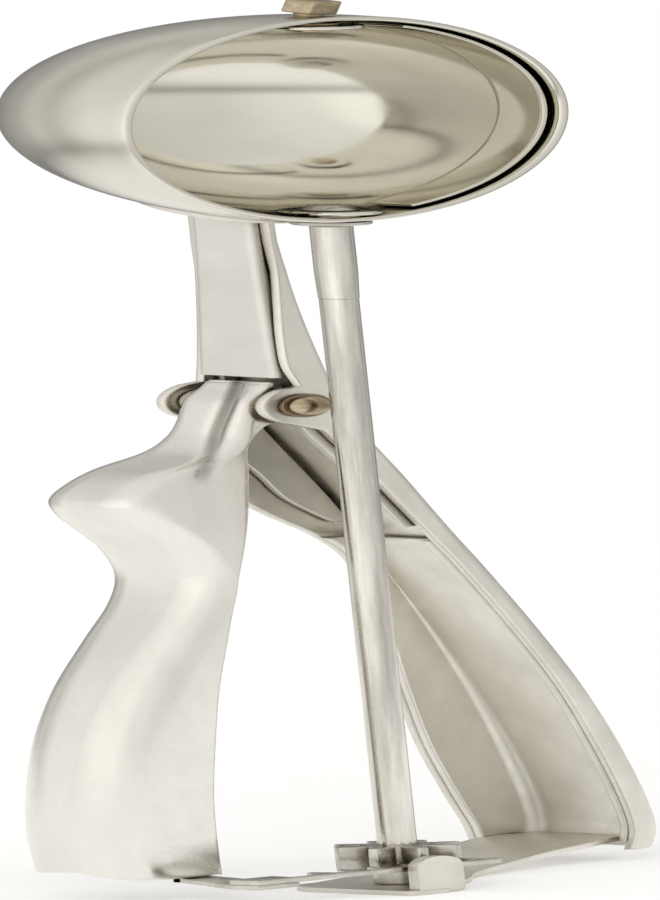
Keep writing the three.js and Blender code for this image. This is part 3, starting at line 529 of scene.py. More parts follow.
def makeStemWall(side):
    loops, sheet, lip = [], stem["sheet"], stem["edge"]
    for row, inset in endRows(fineRows(stem["wallRows"], counts["rowStep"]), lip, (True, True)):
        row = withEar(list(row), 1, stem["ear"])
        height, web, width = row[:3]
        edge = row[3] if side < 0 else row[4]
        ends = [edge + lip, web - lip]
        outer = [(ends[0] + (ends[1] - ends[0]) * step / counts["wall"], width / 2 - inset)
                 for step in range(counts["wall"] + 1)]
        inner = [(x, width / 2 - sheet + inset) for x, y in outer[::-1]]
        webLip = lipArc(web, width / 2, sheet, lip, inset, -1)
        edgeLip = lipArc(edge, width / 2, sheet, lip, inset, 1)[::-1]
        loops.append([[x, frameY + side * y, height] for x, y in outer + webLip + inner + edgeLip])
    return loopPiece("stemWall", loops, counts["wall"] + 1)


gripShell = channelPiece("gripShell", grip["rows"], grip, 1, (False, True), grip["ear"], stopAtSaddle)
stemChannel = channelPiece("stemChannel", stem["rows"], stem, -1, (False, True), None, stopAtSaddle)
stemShell = joined("stemShell", [stemChannel, makeStemWall(-1), makeStemWall(1)])
print("scoop: grip and stem pressed")

liner = {"sheet": 0.9, "edge": 0.25, "nest": 0.1, "top": 83, "bottom": 3.6, "rowStep": 4}
foot = {
    "sheet": 1.2, "edge": 0.3, "left": -7, "front": -8, "back": 7, "backCorner": 4, "frontCorner": 0.8,
    "arm": [  # across, underside, front, back
        (-2.7, 0, -8, 7), (2.7, 0, -4, 8.9), (7.3, 0, -0.6, 10.6), (10.9, 0.2, 2.3, 12), (15.7, 1.4, 3.4, 13.7),
        (20.1, 2.8, 3.8, 15.3), (24.4, 3.9, 4, 16.6), (28.3, 4.5, 4.8, 17), (33.1, 4.6, 6.6, 16),
    ],
    "tabLeft": -6, "tabRight": -0.9, "tabTop": 9.3, "tabSheet": 1.2, "bend": 1.1, "columns": 20,
    "cornerSteps": 8, "rowStep": 0.8, "domeSteps": 10,
}


def linerRows():
    inset = grip["sheet"] + liner["nest"]
    rows = []
    for height, web, width, radius, front, back in fineRows(grip["rows"], liner["rowStep"]):
        if liner["bottom"] < height < liner["top"]:
            rows.append((height, web - inset, width - 2 * inset, max(radius - inset, liner["sheet"] / 2),
                         front + liner["nest"], back - liner["nest"]))
    return rows


def makeFootSheet(look):
    left, corner, soft = look["left"], look["backCorner"], look["frontCorner"]
    rows = []
    for angle in quarterTurn(look["cornerSteps"]):
        x = left + corner * (1 - cos(angle))
        share = min(1, (x - left) / soft)
        front = look["front"] + soft * (1 - sqrt(1 - (1 - share) ** 2))
        rows.append((x, 0, front, look["back"] - corner * (1 - sin(angle))))
    rows += [row for row in fineRows(look["arm"], look["rowStep"]) if row[0] > rows[-1][0] + 0.1]
    shares = [step / look["columns"] for step in range(look["columns"] + 1)]
    grid = [[place(x, front + (back - front) * share, max(lower, 0) + look["sheet"]) for share in shares]
            for x, lower, front, back in rows]
    sheet = gridPiece("footSheet", grid, 10 * look["columns"], (0, 0, 1))
    return thickened(sheet, look["sheet"], look["edge"])


def makeTab(look):
    radius = (look["tabRight"] - look["tabLeft"]) / 2
    middle = (look["tabRight"] + look["tabLeft"]) / 2
    bend, shoulder = look["bend"], look["tabTop"] - radius
    front = look["front"]
    heights = [0, bend * 0.15, bend * 0.45] + [bend + (shoulder - bend) * step / 6 for step in range(7)]
    rows = [(radius, front + bend - sqrt(bend ** 2 - max(0, bend - height) ** 2), height) for height in heights]
    dome = quarterTurn(look["domeSteps"])[1:-1]
    rows += [(radius * cos(angle), front, shoulder + radius * sin(angle)) for angle in dome]
    shares = [2 * step / look["columns"] - 1 for step in range(look["columns"] + 1)]
    grid = [[place(middle + half * share, y, height) for share in shares] for half, y, height in rows]
    tab = gridPiece("footTab", grid, 5 * look["columns"], (0, -1, 0))
    return thickened(tab, look["tabSheet"], look["edge"])


linerChannel = channelPiece("linerChannel", linerRows(), liner, 1)
linerShell = joined("linerShell", [linerChannel, makeFootSheet(foot), makeTab(foot)])
print("scoop: liner and foot pressed")

# Lever: a pressed channel with a stiffening groove down its neck and a waved foot; each row is height, web,
# width, corner radius, edge
lever = {
    "sheet": 1.1, "edge": 0.35, "ear": 3.1,
    "footFront": 5.9, "footMiddle": 7.9, "footBack": 7.2, "waveStart": 20,
    # The groove's painted shade has its own width and end share, and grows paler downward
    "groove": {"depth": 0.55, "pressWidth": 0.6035, "shadeWidth": 0.527, "top": 124.5, "bottom": 100.5,
               "pressEnd": 0.2, "shadeEnd": 0.15, "pale": 0.35, "side": 2, "across": (0.703, -0.711),
               "path": [(124.5, -8.5), (118, -9.75), (112.7, -10.7), (106, -11.55), (102, -12.1),
                        (100, -12.2)]},
    "rows": [
        (123.8, -1.3, 7, 0.9, 0.2), (122, -2.3, 7.2, 1, 0.5), (119.8, -3.9, 7.5, 1.2, 0.6),
        (117.3, -4.6, 7.7, 1.4, 0.6), (113.6, -5.4, 7.9, 1.6, -2.2), (110.2, -6.5, 8.6, 1.8, -4.4),
        (106.9, -9.1, 9.4, 2.2, -5.3), (103.8, -14.4, 10.1, 2.7, -5.7), (100.4, -17.9, 10.6, 3.1, -6.1),
        (97, -19.7, 11, 3.4, -6.5), (93.2, -18.8, 11.3, 3.4, -6.9), (89.2, -16.6, 11.6, 3.3, -7.4),
        (84.3, -14.2, 11.7, 3.2, -8), (77.8, -12.8, 11.9, 3.2, -9), (71, -14, 12.1, 3.6, -10),
        (62.3, -17.3, 12.4, 4, -11.3), (51, -21.3, 12.7, 4.4, -12.9), (39, -24.1, 12.9, 4.7, -14),
        (26, -25.6, 13, 4.9, -14.9), (15, -26, 13, 5, -15.1), (4, -25.4, 13, 5, -15),
    ],
}


def waveFoot(loop):
    half = lever["rows"][-1][2] / 2
    start, last = lever["waveStart"], lever["rows"][-1][0]
    for spot in loop:
        if spot[2] < start:
            across = max(-1, min(1, (spot[1] - frameY) / half))
            swing = (1 - cos(pi * min(1, across + 1))) / 2
            wave = lever["footFront"] + (lever["footMiddle"] - lever["footFront"]) * swing
            if across > 0:
                wave += (lever["footBack"] - lever["footMiddle"]) * (1 - cos(pi * across)) / 2
            spot[2] = start - (start - spot[2]) * (start - wave) / (start - last)


def grooveOffset(x, y, height):
    # How far a point lies from the groove's line, measured across the web and the front wall together
    groove = lever["groove"]
    across = groove["across"][0] * x + groove["across"][1] * y
    for (upper, near), (lower, far) in zip(groove["path"], groove["path"][1:]):
        if height >= lower:
            return across - (near + (far - near) * (upper - height) / (upper - lower))
    return across - groove["path"][-1][1]


def grooveShare(height, end):
    # How far down the groove a height is, and how much of the groove is left there
    groove = lever["groove"]
    share = (groove["top"] - height) / (groove["top"] - groove["bottom"])
    return share, min(1, max(0, (1 - share) / end))


def pressGroove(height, outer, inner):
    # A soft groove from the neck's web over the front corner to the front wall
    groove = lever["groove"]
    share, fade = grooveShare(height, groove["pressEnd"])
    if share < 0 or fade <= 0:
        return
    fade = fade * fade * (3 - 2 * fade)
    moves = []
    for index, (x, y) in enumerate(outer[1:-1], 1):
        along, rise = (outer[index + 1][axes] - outer[index - 1][axes] for axes in (0, 1))
        length = hypot(along, rise)
        if length < 1e-6 or y > groove["side"]:
            continue
        off = grooveOffset(x, y + frameY, height)
        push = groove["depth"] * fade * exp(-(off / groove["pressWidth"]) ** 2) / length
        if rise * push < -1e-9 or -along * push < -1e-9:
            push = -push
        moves.append((index, rise * push, -along * push))
    for index, x, y in moves:
        for line in (outer, inner):
            line[index] = (line[index][0] + x, line[index][1] + y)


def paintGrooveShade(piece):
    # Painted shade: marks how dark the groove's painted shade is at each point, deepest at the top
    groove = lever["groove"]
    levels = []
    for vertex in piece.data.vertices:
        x, y, height = ((vertex.co - axis) / mm)[:]
        share, fade = grooveShare(height, groove["shadeEnd"])
        off = grooveOffset(x, y, height) / groove["shadeWidth"]
        near = y < frameY + groove["side"] + 0.5 and share >= 0
        levels.append(fade * (1 - groove["pale"] * share) * exp(-off ** 4) if near else 0)
    piece.data.attributes.new("groove", "FLOAT", "POINT").data.foreach_set("value", levels)


leverRows = [(*row, row[-1]) for row in lever["rows"]]  # Both walls end at the same edge
leverShell = channelPiece("leverShell", leverRows, lever, -1, (True, True), lever["ear"], waveFoot, pressGroove)
paintGrooveShade(leverShell)
print("scoop: lever pressed")


# Node helpers: a node's numbers are set and its sources linked
def wired(tree, node, sources=None, **values):
    for label, value in values.items():
        node.inputs[label].default_value = value
    for label, source in (sources or {}).items():
        tree.links.new(source, node.inputs[label])
    return node


def addNode(tree, kind, sources=None, **values):
    return wired(tree, tree.nodes.new(kind), sources, **values)


def mathNode(tree, operation, first, second):
    node = addNode(tree, "ShaderNodeMath", {0: first, 1: second})
    node.operation = operation
    return node.outputs["Value"]


def vectorNode(tree, operation, source, other):
    node = addNode(tree, "ShaderNodeVectorMath", {0: source})
    node.operation = operation
    node.inputs[1].default_value = other
    return node.outputs["Value"]


def rangeNode(tree, source, low, high, start, end):
    return addNode(tree, "ShaderNodeMapRange", {"Value": source}, **{
        "From Min": low, "From Max": high, "To Min": start, "To Max": end}).outputs["Result"]


# Geometry Nodes: teeth set in a row or round a hub, and wire drawn along a path
def newTree(name, sizes):
    tree = bpy.data.node_groups.new(name, "GeometryNodeTree")
    for way, sockets in (("INPUT", {"Geometry": "Geometry", **sizes}), ("OUTPUT", {"Geometry": "Geometry"})):
        for label, kind in sockets.items():
            tree.interface.new_socket(label, in_out=way, socket_type="NodeSocket" + kind)
    return tree, tree.nodes.new("NodeGroupInput").outputs


def endTree(tree, source, finish):
    real = addNode(tree, "GeometryNodeRealizeInstances", {"Geometry": source})
    paint = addNode(tree, "GeometryNodeSetMaterial", {"Geometry": real.outputs["Geometry"], "Material": finish})
    addNode(tree, "NodeGroupOutput", {"Geometry": paint.outputs["Geometry"]})
    return tree


def teethTree():
    tree, size = newTree("teethInARow", {"Tooth": "Object", "Teeth": "Int", "Pitch": "Float", "Turn": "Float",
                                         "Finish": "Material"})
    step = addNode(tree, "ShaderNodeCombineXYZ", {"X": size["Pitch"]})
    line = addNode(tree, "GeometryNodeMeshLine", {"Count": size["Teeth"], "Offset": step.outputs["Vector"]})
    tooth = addNode(tree, "GeometryNodeObjectInfo", {"Object": size["Tooth"]})
    index = tree.nodes.new("GeometryNodeInputIndex")
    turn = mathNode(tree, "MULTIPLY", index.outputs["Index"], size["Turn"])
    angle = addNode(tree, "ShaderNodeCombineXYZ", {"Z": turn})
    scatter = addNode(tree, "GeometryNodeInstanceOnPoints", {
        "Points": line.outputs["Mesh"], "Instance": tooth.outputs["Geometry"],
        "Rotation": angle.outputs["Vector"]})
    return endTree(tree, scatter.outputs["Instances"], size["Finish"])


def wireTree():
    tree, size = newTree("wireAlongPath", {"Wire Radius": "Float", "Sides": "Int", "Finish": "Material"})
    circle = addNode(tree, "GeometryNodeCurvePrimitiveCircle", {
        "Radius": size["Wire Radius"], "Resolution": size["Sides"]})
    sweep = addNode(tree, "GeometryNodeCurveToMesh", {
        "Curve": size["Geometry"], "Profile Curve": circle.outputs["Curve"]}, **{"Fill Caps": True})
    return endTree(tree, sweep.outputs["Mesh"], size["Finish"])


def grown(name, carrier, tree, values):
    # Grows the tree on a carrier object and keeps the result as one plain mesh at the origin
    modifier = carrier.modifiers.new("grow", "NODES")
    modifier.node_group = tree
    for item in tree.interface.items_tree:
        if item.item_type == "SOCKET" and item.in_out == "INPUT" and item.name in values:
            modifier[item.identifier] = values[item.name]
    bpy.context.view_layer.update()
    graph = bpy.context.evaluated_depsgraph_get()
    mesh = bpy.data.meshes.new_from_object(carrier.evaluated_get(graph))
    bpy.data.objects.remove(carrier)
    return linked(name, mesh)


def extruded(name, outline, bottom, top, centre=(0, 0)):
    # A flat outline given real thickness, walls and both faces
    def raiseOutline(work):
        face = work.faces.new([work.verts.new(place(centre[0] + x, centre[1] + y, bottom)) for x, y in outline])
        raised = bmesh.ops.extrude_face_region(work, geom=[face])
        for vert in [item for item in raised["geom"] if isinstance(item, bmesh.types.BMVert)]:
            vert.co.z = top * mm
        bmesh.ops.recalc_face_normals(work, faces=work.faces)

    piece = meshPiece(name, [], [])
    reworked(piece.data, raiseOutline)
    return piece


def stamped(name, outline, bottom, top, centre=(0, 0)):
    piece = extruded(name, outline, bottom, top, centre)
    softEdge(piece, rack["edge"])
    return finished(piece)


def rectangle(left, right, front, back):
    return [(left, front), (right, front), (right, back), (left, back)]


gear = {"teeth": 8, "module": 1.083, "bottom": 5.1, "height": 5.6, "tip": 0.95, "root": 1.25, "slope": 0.4,
        "play": 0.26, "edge": 0.12, "flankSteps": 6, "sunk": 0.35, "lean": (0.12, 0.48),
        "hubGap": 0.05, "hubEdge": 0.15}
rack = {"teeth": 6, "bottom": 5.7, "sheet": 1.2, "outer": -6.5, "left": -22.6, "lugRight": -17.8, "edge": 0.15,
        "earBottom": 4.5, "earTop": 12, "earLeft": -18.6, "earRight": -15.4, "earSheet": 1, "lap": 0.05,
        "toothSunk": 0.2}
pitchRadius = gear["teeth"] * gear["module"] / 2
toothPitch = pi * gear["module"]


def makePinion(finish):
    # One rounded tooth that leans in toward its tip, drawn on +X
    root, bottom, top = pitchRadius - gear["root"], gear["bottom"], gear["bottom"] + gear["height"]
    flank = []
    for step in range(gear["flankSteps"] + 1):
        share = step / gear["flankSteps"]
        reach = root - gear["sunk"] + (pitchRadius + gear["tip"] - root + gear["sunk"]) * share
        flank.append((reach, 1 - gear["lean"][0] * share - gear["lean"][1] * share * share))
    outline = [(reach, -half) for reach, half in flank] + flank[::-1]
    tooth = extruded("pinionTooth", outline, bottom, top)
    tooth.data.transform(Matrix.Translation(-axis))
    softEdge(tooth, gear["edge"])
    finished(tooth)
    turn = tau / gear["teeth"]
    values = {"Tooth": tooth, "Teeth": gear["teeth"], "Pitch": 0.0, "Turn": turn, "Finish": finish}
    teeth = grown("pinionTeeth", meshPiece("pinionCarrier", [(0, 0, 0)], []), growTeeth, values)
    teeth.data.transform(Matrix.Translation(axis) @ Matrix.Rotation(turn / 2, 4, "Z"))
    bpy.data.objects.remove(tooth)
    hub = ringPiece("pinionHub", root, shaft["radius"] + gear["hubGap"], bottom, top, gear["hubEdge"])
    return joined("pinionGear", [teeth, hub])


def makeRack(finish):
    half = toothPitch / 4 - gear["play"] / 2
    rootY, tipY = -pitchRadius - gear["root"], gear["tip"] - pitchRadius
    base, tip = half + gear["root"] * gear["slope"], half - gear["tip"] * gear["slope"]
    left, lugRight, outer = rack["left"], rack["lugRight"], rack["outer"]
    low, high = rack["bottom"], rack["bottom"] + rack["sheet"]
    earLow, earLeft, earRight = rack["earBottom"], rack["earLeft"], rack["earRight"]
    sunk = rootY - rack["toothSunk"]
    tooth = stamped("rackTooth", [(-base, sunk), (base, sunk), (base, rootY), (tip, tipY), (-tip, tipY),
                                  (-base, rootY)], low, high, (toothPitch, 0))
    values = {"Tooth": tooth, "Teeth": rack["teeth"], "Pitch": -toothPitch * mm, "Turn": 0.0, "Finish": finish}
    teeth = grown("rackTeeth", meshPiece("rackCarrier", [(0, 0, 0)], []), growTeeth, values)
    bpy.data.objects.remove(tooth)
    right = 1.5 * toothPitch
    near = frameY - lever["rows"][-1][2] / 2 + lever["sheet"] + rack["lap"]
    far = near + rack["earSheet"]
    shapes = [
        ("rackStrip", [(left, outer), (right, outer), (right, rootY), (lugRight, rootY), (lugRight, tipY),
                       (left, tipY)], low, high),
        ("rackStep", rectangle(left, lugRight, outer, tipY), earLow, low),
        ("rackLug", [(left, tipY - rack["lap"]), (lugRight, tipY - rack["lap"]), (earRight, near),
                     (earRight, far), (earLeft, far), (earLeft, near)], earLow, low),
        ("rackEar", rectangle(earLeft, earRight, near, far), earLow, rack["earTop"])]
    return joined("rackStripWithTeeth", [teeth, *[stamped(*shape) for shape in shapes]])


spring = {"wire": 0.35, "radius": 2.4, "pitch": 1.68, "turns": 2.5, "steps": 40, "sides": 12,
          "leverLeg": (-3.1, 115), "gripLeg": (4.6, 113.8)}


def makeSpring(finish):
    count, radius = round(spring["turns"] * spring["steps"]), spring["radius"]
    length = spring["turns"] * spring["pitch"]
    points = []
    for step in range(count + 1):
        angle = pi - step / spring["steps"] * tau
        y = frameY + (step / count - 0.5) * length
        points.append((radius * cos(angle), y, pivotHeight + radius * sin(angle)))
    before = (spring["leverLeg"][0], points[0][1] - spring["wire"], spring["leverLeg"][1])
    after = (spring["gripLeg"][0], points[-1][1] + spring["wire"], spring["gripLeg"][1])
    data = bpy.data.curves.new("springPath", "CURVE")
    data.dimensions = "3D"
    spline = data.splines.new("POLY")
    path = [before, *points, after]
    spline.points.add(len(path) - 1)
    for point, spot in zip(spline.points, path):
        point.co = (*place(*spot), 1)
    values = {"Wire Radius": spring["wire"] * mm, "Sides": spring["sides"], "Finish": finish}
    piece = grown("returnSpring", linked("springPath", data), growWire, values)
    for face in piece.data.polygons:
        face.use_smooth = True
    return piece


# Finishes: colours and roughness spread, grain across and along the drawing direction, per metre
# Each finish darkens its corners toward a painted shade colour, over a reach of a few millimetres
plainMetal = {"grain": (1, 1, 1), "bump": 0.16, "scratchTurn": (0, 0, 0), "scratch": 0.6, "stretch": 1,
              "cornerShade": (0.58, 0.55, 0.5), "tintStops": (0.32, 0.66), "smudgeBand": (0.32, 0.68),
              "scratchBand": (0.7, 0.76), "scratchScale": 2600, "relief": 0.00002,
              "occlusion": 0.003, "occlusionBand": (0.3, 0.95)}
brushed = {"grain": (1, 1, 0.04), "bump": 0.12}
# A weaker painted corner shade, for the grip, lever and shaft
paleCornerShade = (0.84, 0.82, 0.78)
brass = {"grainScale": 3500, "driftScale": 420, "scratchTurn": (0.4, 0.8, 0)}
finishes = {
    "bowlSteel": {"colour": (0.76, 0.74, 0.665), "shade": (0.7, 0.675, 0.595), "rough": (0.07, 0.13),
                  "outside": (0.16, 0.26), "ball": 24.4, "grain": (1, 1, 0.5), "grainScale": 2600,
                  "driftScale": 55, "bump": 0.05, "scratchTurn": (0.5, 0.3, 0.2), "scratch": 0.5,
                  "cornerShade": (0.84, 0.81, 0.75)},
    "leverSteel": {"colour": (0.86, 0.84, 0.785), "shade": (0.77, 0.75, 0.7), "rough": (0.2, 0.3),
                   # Dark colour of the painted shade along the groove
                   "grooveShade": ("groove", (0.3, 0.29, 0.27)), "stretch": 0.14, "cornerShade": paleCornerShade,
                   "grain": (1, 1, 0.03), "grainScale": 4200, "driftScale": 150, "bump": 0.09,
                   "scratchTurn": (0.12, 0.1, 0), "scratch": 0.5},
    "gripSteel": {**brushed, "colour": (0.83, 0.805, 0.74), "shade": (0.7, 0.675, 0.615), "rough": (0.32, 0.46),
                  "stretch": 0.3, "cornerShade": paleCornerShade, "grainScale": 3800, "driftScale": 150,
                  "scratchTurn": (0.3, -0.35, 0.1)},
    "stemSteel": {**brushed, "colour": (0.8, 0.78, 0.735), "shade": (0.72, 0.7, 0.65), "rough": (0.42, 0.54),
                  "grainScale": 4000, "driftScale": 70, "scratchTurn": (0.2, -0.2, 0.1)},
    "shaftSteel": {"colour": (0.82, 0.795, 0.73), "shade": (0.46, 0.44, 0.4), "rough": (0.12, 0.24),
                   "stretch": 0.045, "cornerShade": paleCornerShade, "grain": (1, 1, 0.03), "grainScale": 5000,
                   "driftScale": 620, "bump": 0.08, "scratch": 0.5},
    "gearSteel": {"colour": (0.66, 0.64, 0.585), "shade": (0.5, 0.48, 0.43), "rough": (0.2, 0.36),
                  "grain": (1, 1, 0.3), "grainScale": 5000, "driftScale": 260, "scratchTurn": (0.8, 0.2, 0.1)},
    "plainBrass": {**brass, "colour": (0.6, 0.51, 0.36), "shade": (0.34, 0.27, 0.17), "rough": (0.14, 0.28)},
    "darkBrass": {**brass, "colour": (0.34, 0.27, 0.18), "shade": (0.2, 0.15, 0.1), "rough": (0.3, 0.46)},
    "springWire": {"colour": (0.6, 0.6, 0.605), "shade": (0.45, 0.45, 0.455), "rough": (0.18, 0.3),
                   "grainScale": 6000, "driftScale": 300, "bump": 0.1, "scratchTurn": (0, 0.8, 0),
                   "scratch": 0.4},
}


def darkened(tree, colour, share, dark):
    # Multiplies the colour by dark where share is high
    node = tree.nodes.new("ShaderNodeMix")
    node.data_type, node.blend_type = "RGBA", "MULTIPLY"
    entries = {socket.identifier: socket for socket in [*node.inputs, *node.outputs]}
    entries["B_Color"].default_value = (*dark, 1)
    tree.links.new(share, entries["Factor_Float"])
    tree.links.new(colour, entries["A_Color"])
    return entries["Result_Color"]


def newPaint(name):
    paint = bpy.data.materials.new(name)
    paint.use_nodes = True
    return paint, paint.node_tree, paint.node_tree.nodes["Principled BSDF"]


def finishNodes(name, look):
    # Metal with a drawn grain, faint scratches, slow colour drift, painted shade in its corners and smudged
    # roughness
    finish, tree, shader = newPaint(name)
    spot = tree.nodes.new("ShaderNodeTexCoord").outputs["Object"]

    def noise(turned, **values):
        where = spot
        if turned:
            where = addNode(tree, "ShaderNodeMapping", {"Vector": spot}, **turned).outputs["Vector"]
        return addNode(tree, "ShaderNodeTexNoise", {"Vector": where}, **values).outputs["Fac"]

    grain = noise({"Scale": look["grain"]}, Scale=look["grainScale"], Detail=3, Roughness=0.55)
    drift = noise({"Scale": (1, 1, look["stretch"])}, Scale=look["driftScale"], Detail=5, Roughness=0.6)
    smudge = noise(None, Scale=look["driftScale"] * 2.5, Detail=4, Distortion=0.6)
    scratch = noise({"Rotation": look["scratchTurn"], "Scale": (1, 1, 0.02)}, Scale=look["scratchScale"],
                    Detail=1)
    tint = addNode(tree, "ShaderNodeValToRGB", {"Fac": drift})
    stops = zip(tint.color_ramp.elements, look["tintStops"], (look["shade"], look["colour"]))
    for element, stop, colour in stops:
        element.position, element.color = stop, (*colour, 1)
    # Painted shade: an occlusion probe darkens the colour in corners, creases and gaps between parts, where
    # shade falls
    occlusion = addNode(tree, "ShaderNodeAmbientOcclusion", Distance=look["occlusion"])
    occlusion.samples = 6
    cornerShade = rangeNode(tree, occlusion.outputs["AO"], *look["occlusionBand"], 1, 0)
    colour = darkened(tree, tint.outputs["Color"], cornerShade, look["cornerShade"])
    # Painted shade along the lever's groove, read from the point attribute
    if "grooveShade" in look:
        where = tree.nodes.new("ShaderNodeAttribute")
        where.attribute_name, grooveShade = look["grooveShade"]
        colour = darkened(tree, colour, where.outputs["Fac"], grooveShade)
    lines = rangeNode(tree, scratch, *look["scratchBand"], 0, look["scratch"])
    bump = addNode(tree, "ShaderNodeBump", {"Height": mathNode(tree, "SUBTRACT", grain, lines)},
                   Strength=look["bump"], Distance=look["relief"])
    rough = rangeNode(tree, smudge, *look["smudgeBand"], *look["rough"])
    if "outside" in look:  # The bowl is brighter polished inside than outside
        away = vectorNode(tree, "DISTANCE", spot, place(0, 0, bowl["height"]))
        which = rangeNode(tree, away, look["ball"] * mm, (look["ball"] + 0.2) * mm, 0, 1)
        outer = rangeNode(tree, smudge, *look["smudgeBand"], *look["outside"])
        rough = addNode(tree, "ShaderNodeMix", {"Factor": which, "A": rough, "B": outer}).outputs["Result"]
    wired(tree, shader, {"Base Color": colour, "Normal": bump.outputs["Normal"], "Roughness": rough},
          Metallic=1)
    return finish


metals = {name: finishNodes(name, {**plainMetal, **look}) for name, look in finishes.items()}
print("scoop:", len(metals), "finishes mixed")

growTeeth = teethTree()
growWire = wireTree()
pinionGear = makePinion(metals["gearSteel"])
rackBar = makeRack(metals["gearSteel"])
returnSpring = makeSpring(metals["springWire"])
print("scoop: pinion, rack and spring grown")

# Pivot: rivet, washers and bush, turned about the pivot's line
pivot = {"ear": 11.8, "washer": 2.85, "washerSheet": 0.5, "shank": 1.2, "head": 2.25, "dome": 1.4, "bush": 1.75,
         "leverWidth": 7.7, "slack": 0.1, "play": 0.15, "washerEdge": 0.12, "bushEdge": 0.15, "segments": 56}
pivotCentre = (0, 0, pivotHeight)
nearEar = frameY - pivot["ear"] / 2
farEar = frameY + pivot["ear"] / 2


def rivetProfile():
    near = nearEar - pivot["washerSheet"] - pivot["slack"]
    far = farEar + pivot["washerSheet"] + pivot["slack"]
    head = [(pivot["head"] * sin(angle), pivot["dome"] * cos(angle)) for angle in quarterTurn(12)]
    return ([(radius, near - rise) for radius, rise in head] + [(pivot["shank"], near), (pivot["shank"], far)]
            + [(radius, far + rise) for radius, rise in head[::-1]])


pivotRivet = turnedPiece("pivotRivet", rivetProfile(), pivotCentre, "y", pivot["segments"])
washerPieces = []
for label, edge, side in (("frontWasher", nearEar, -1), ("backWasher", farEar, 1)):
    close = edge + side * bearing["seat"]
    away = close + side * pivot["washerSheet"]
    washerPieces.append(ringPiece(label, pivot["washer"], pivot["shank"] + pivot["play"], min(close, away),
                                  max(close, away), pivot["washerEdge"], pivotCentre, "y", pivot["segments"]))
bushHalf = pivot["leverWidth"] / 2 - lever["sheet"] - bearing["turn"]
pivotBush = ringPiece("pivotBush", pivot["bush"], pivot["shank"] + pivot["play"], frameY - bushHalf,
                      frameY + bushHalf, pivot["bushEdge"], pivotCentre, "y", 48)
print("scoop: pivot turned")

# Who carries what: piece, node, body, finish, record slot
assembly = [
    (bowlShell, "bowl", "grip", "bowlSteel", "polished_steel"),
    (bowlSaddle, "bowl_saddle", "grip", "gripSteel", "pressed_steel"),
    (bowlBush, "bowl_bush", "grip", "gearSteel", "pressed_steel"),
    (scraperBand, "scraper", "spindle", "bowlSteel", "pressed_steel"),
    (scraperBoss, "scraper_boss", "spindle", "gearSteel", "pressed_steel"),
    (topPeg, "top_pin", "grip", "plainBrass", "brass"),
    (topWasher, "top_washer", "grip", "plainBrass", "brass"),
    (drivingShaft, "shaft", "spindle", "shaftSteel", "drawn_steel"),
    (shaftSleeve, "shaft_sleeve", "spindle", "shaftSteel", "drawn_steel"),
    (pinionGear, "pinion", "spindle", "gearSteel", "satin_steel"),
    (footSpacer, "foot_spacer", "grip", "gearSteel", "satin_steel"),
    (stemShell, "stem", "grip", "stemSteel", "pressed_steel"),
    (gripShell, "fixed_grip", "grip", "gripSteel", "satin_steel"),
    (linerShell, "grip_liner", "grip", "gripSteel", "pressed_steel"),
    (leverShell, "lever", "lever", "leverSteel", "polished_steel"),
    (rackBar, "rack", "lever", "gearSteel", "satin_steel"),
    (pivotRivet, "pivot_rivet", "grip", "plainBrass", "brass"),
    (washerPieces[0], "front_washer", "grip", "darkBrass", "dark_brass"),
    (washerPieces[1], "back_washer", "grip", "darkBrass", "dark_brass"),
    (pivotBush, "pivot_bush", "grip", "shaftSteel", "drawn_steel"),
    (returnSpring, "return_spring", "grip", "springWire", "spring_steel"),
]
for piece, node, body, metal, slot in assembly:
    piece.data.materials.clear()
    piece.data.materials.append(metals[metal])
    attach(piece, body)
    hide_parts(node)
print("scoop:", len(assembly), "pieces ride on their bodies")

# Floor, lamps and world
studio = {"floor": 0.88, "floorGlow": 0.25, "floorRadius": 0.45, "rings": 96, "fade": (0.5, 0.98),
          "air": (1, 0.99, 0.965), "lampAim": (0, 0, 0.1),
          "cards": [
              ((0.698, 0.69, -0.19), [(0, 1.12), (0.16, 1.02), (0.56, 0.98), (0.7, 0.66), (0.78, 0.86),
                                      (0.9, 0.56), (1, 0.32)]),
              ((0, 0, 1), [(0, 1), (0.2, 0.96), (0.29, 0.5), (0.37, 0.98), (0.64, 0.92), (0.8, 0.93), (1, 1)]),
              ((-0.98, 0.05, -0.19), [(0, 0.78), (0.5, 0.84), (0.8, 0.93), (0.92, 1.12), (1, 1.22)]),
          ],
          "lamps": [
              {"name": "keyLamp", "spot": (-1.6, -1.2, 2.2), "size": 1.4, "power": 12},
              {"name": "sideLamp", "spot": (1.8, -1.4, 1.6), "size": 1.4, "power": 6},
          ]}


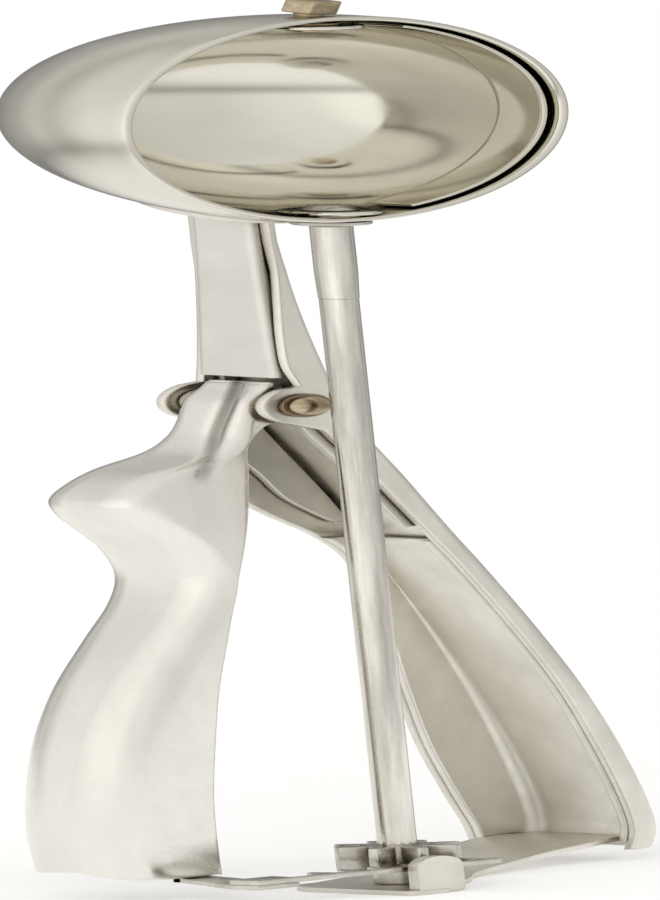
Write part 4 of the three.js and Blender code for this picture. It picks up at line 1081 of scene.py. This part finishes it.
def makeFloor(look):
    turns = [tau * step / look["rings"] for step in range(look["rings"])]
    radius = look["floorRadius"]
    points = [(radius * cos(angle), radius * sin(angle), 0) for angle in turns]
    floor = meshPiece("studioFloor", points, [tuple(range(look["rings"]))])
    paint, tree, shader = newPaint("floorPaint")
    rays = tree.nodes.new("ShaderNodeLightPath").outputs
    seen = mathNode(tree, "MAXIMUM", rays["Is Camera Ray"], rays["Is Glossy Ray"])
    wired(tree, shader, {"Emission Strength": rangeNode(tree, seen, 0, 1, 0, look["floorGlow"])}, **{
        "Base Color": (look["floor"],) * 3 + (1,), "Roughness": 0.9, "Specular IOR Level": 0,
        "Emission Color": (1, 1, 1, 1)})
    # Toward its rim the floor fades into the white around it
    spot = tree.nodes.new("ShaderNodeTexCoord").outputs["Object"]
    far = vectorNode(tree, "DISTANCE", spot, (0, 0, 0))
    low, high = look["fade"]
    mix = addNode(tree, "ShaderNodeMixShader", {
        "Fac": rangeNode(tree, far, low * radius, high * radius, 0, 1), 1: shader.outputs["BSDF"],
        2: tree.nodes.new("ShaderNodeBsdfTransparent").outputs["BSDF"]})
    wired(tree, tree.nodes["Material Output"], {"Surface": mix.outputs["Shader"]})
    floor.data.materials.append(paint)


def makeLamps(look):
    for lamp in look["lamps"]:
        data = bpy.data.lights.new(lamp["name"], "AREA")
        data.shape, data.size, data.energy = "DISK", lamp["size"], lamp["power"]
        light = linked(lamp["name"], data)
        light.location = lamp["spot"]
        toward = Vector(look["lampAim"]) - Vector(lamp["spot"])
        light.rotation_euler = toward.to_track_quat("-Z", "Y").to_euler()
        light.visible_camera = light.visible_glossy = False


def bandNode(tree, share, bands):
    ramp = addNode(tree, "ShaderNodeValToRGB", {"Fac": share})
    ramp.color_ramp.interpolation = "EASE"
    elements = ramp.color_ramp.elements
    while len(elements) < len(bands):
        elements.new(0.5)
    for element, (position, level) in zip(elements, bands):
        element.position = position
    for element, (position, level) in zip(elements, bands):
        element.color = (level, level, level, 1)
    return ramp.outputs["Color"]


def makeWorld(look):
    # Bright all round, with a dim card behind the scoop, a dim band below the horizon and a light left side
    world = bpy.data.worlds.new("studioAir")
    bpy.context.scene.world = world
    world.use_nodes = True
    tree = world.node_tree
    way = tree.nodes.new("ShaderNodeTexCoord").outputs["Generated"]
    levels = []
    for toward, bands in look["cards"]:
        share = rangeNode(tree, vectorNode(tree, "DOT_PRODUCT", way, toward), -1, 1, 0, 1)
        levels.append(bandNode(tree, share, bands))
    level = mathNode(tree, "MULTIPLY", mathNode(tree, "MULTIPLY", *levels[:2]), levels[2])
    air = wired(tree, tree.nodes["Background"], {"Strength": level}, Color=(*look["air"], 1))
    seen = addNode(tree, "ShaderNodeBackground", Color=(1, 1, 1, 1))
    rays = tree.nodes.new("ShaderNodeLightPath").outputs
    choice = addNode(tree, "ShaderNodeMixShader", {
        "Fac": rays["Is Camera Ray"], 1: air.outputs["Background"], 2: seen.outputs["Background"]})
    wired(tree, tree.nodes["World Output"], {"Surface": choice.outputs["Shader"]})


makeFloor(studio)
makeLamps(studio)
makeWorld(studio)
bpy.context.scene.view_settings.view_transform = "Standard"
print("scoop: studio lit")
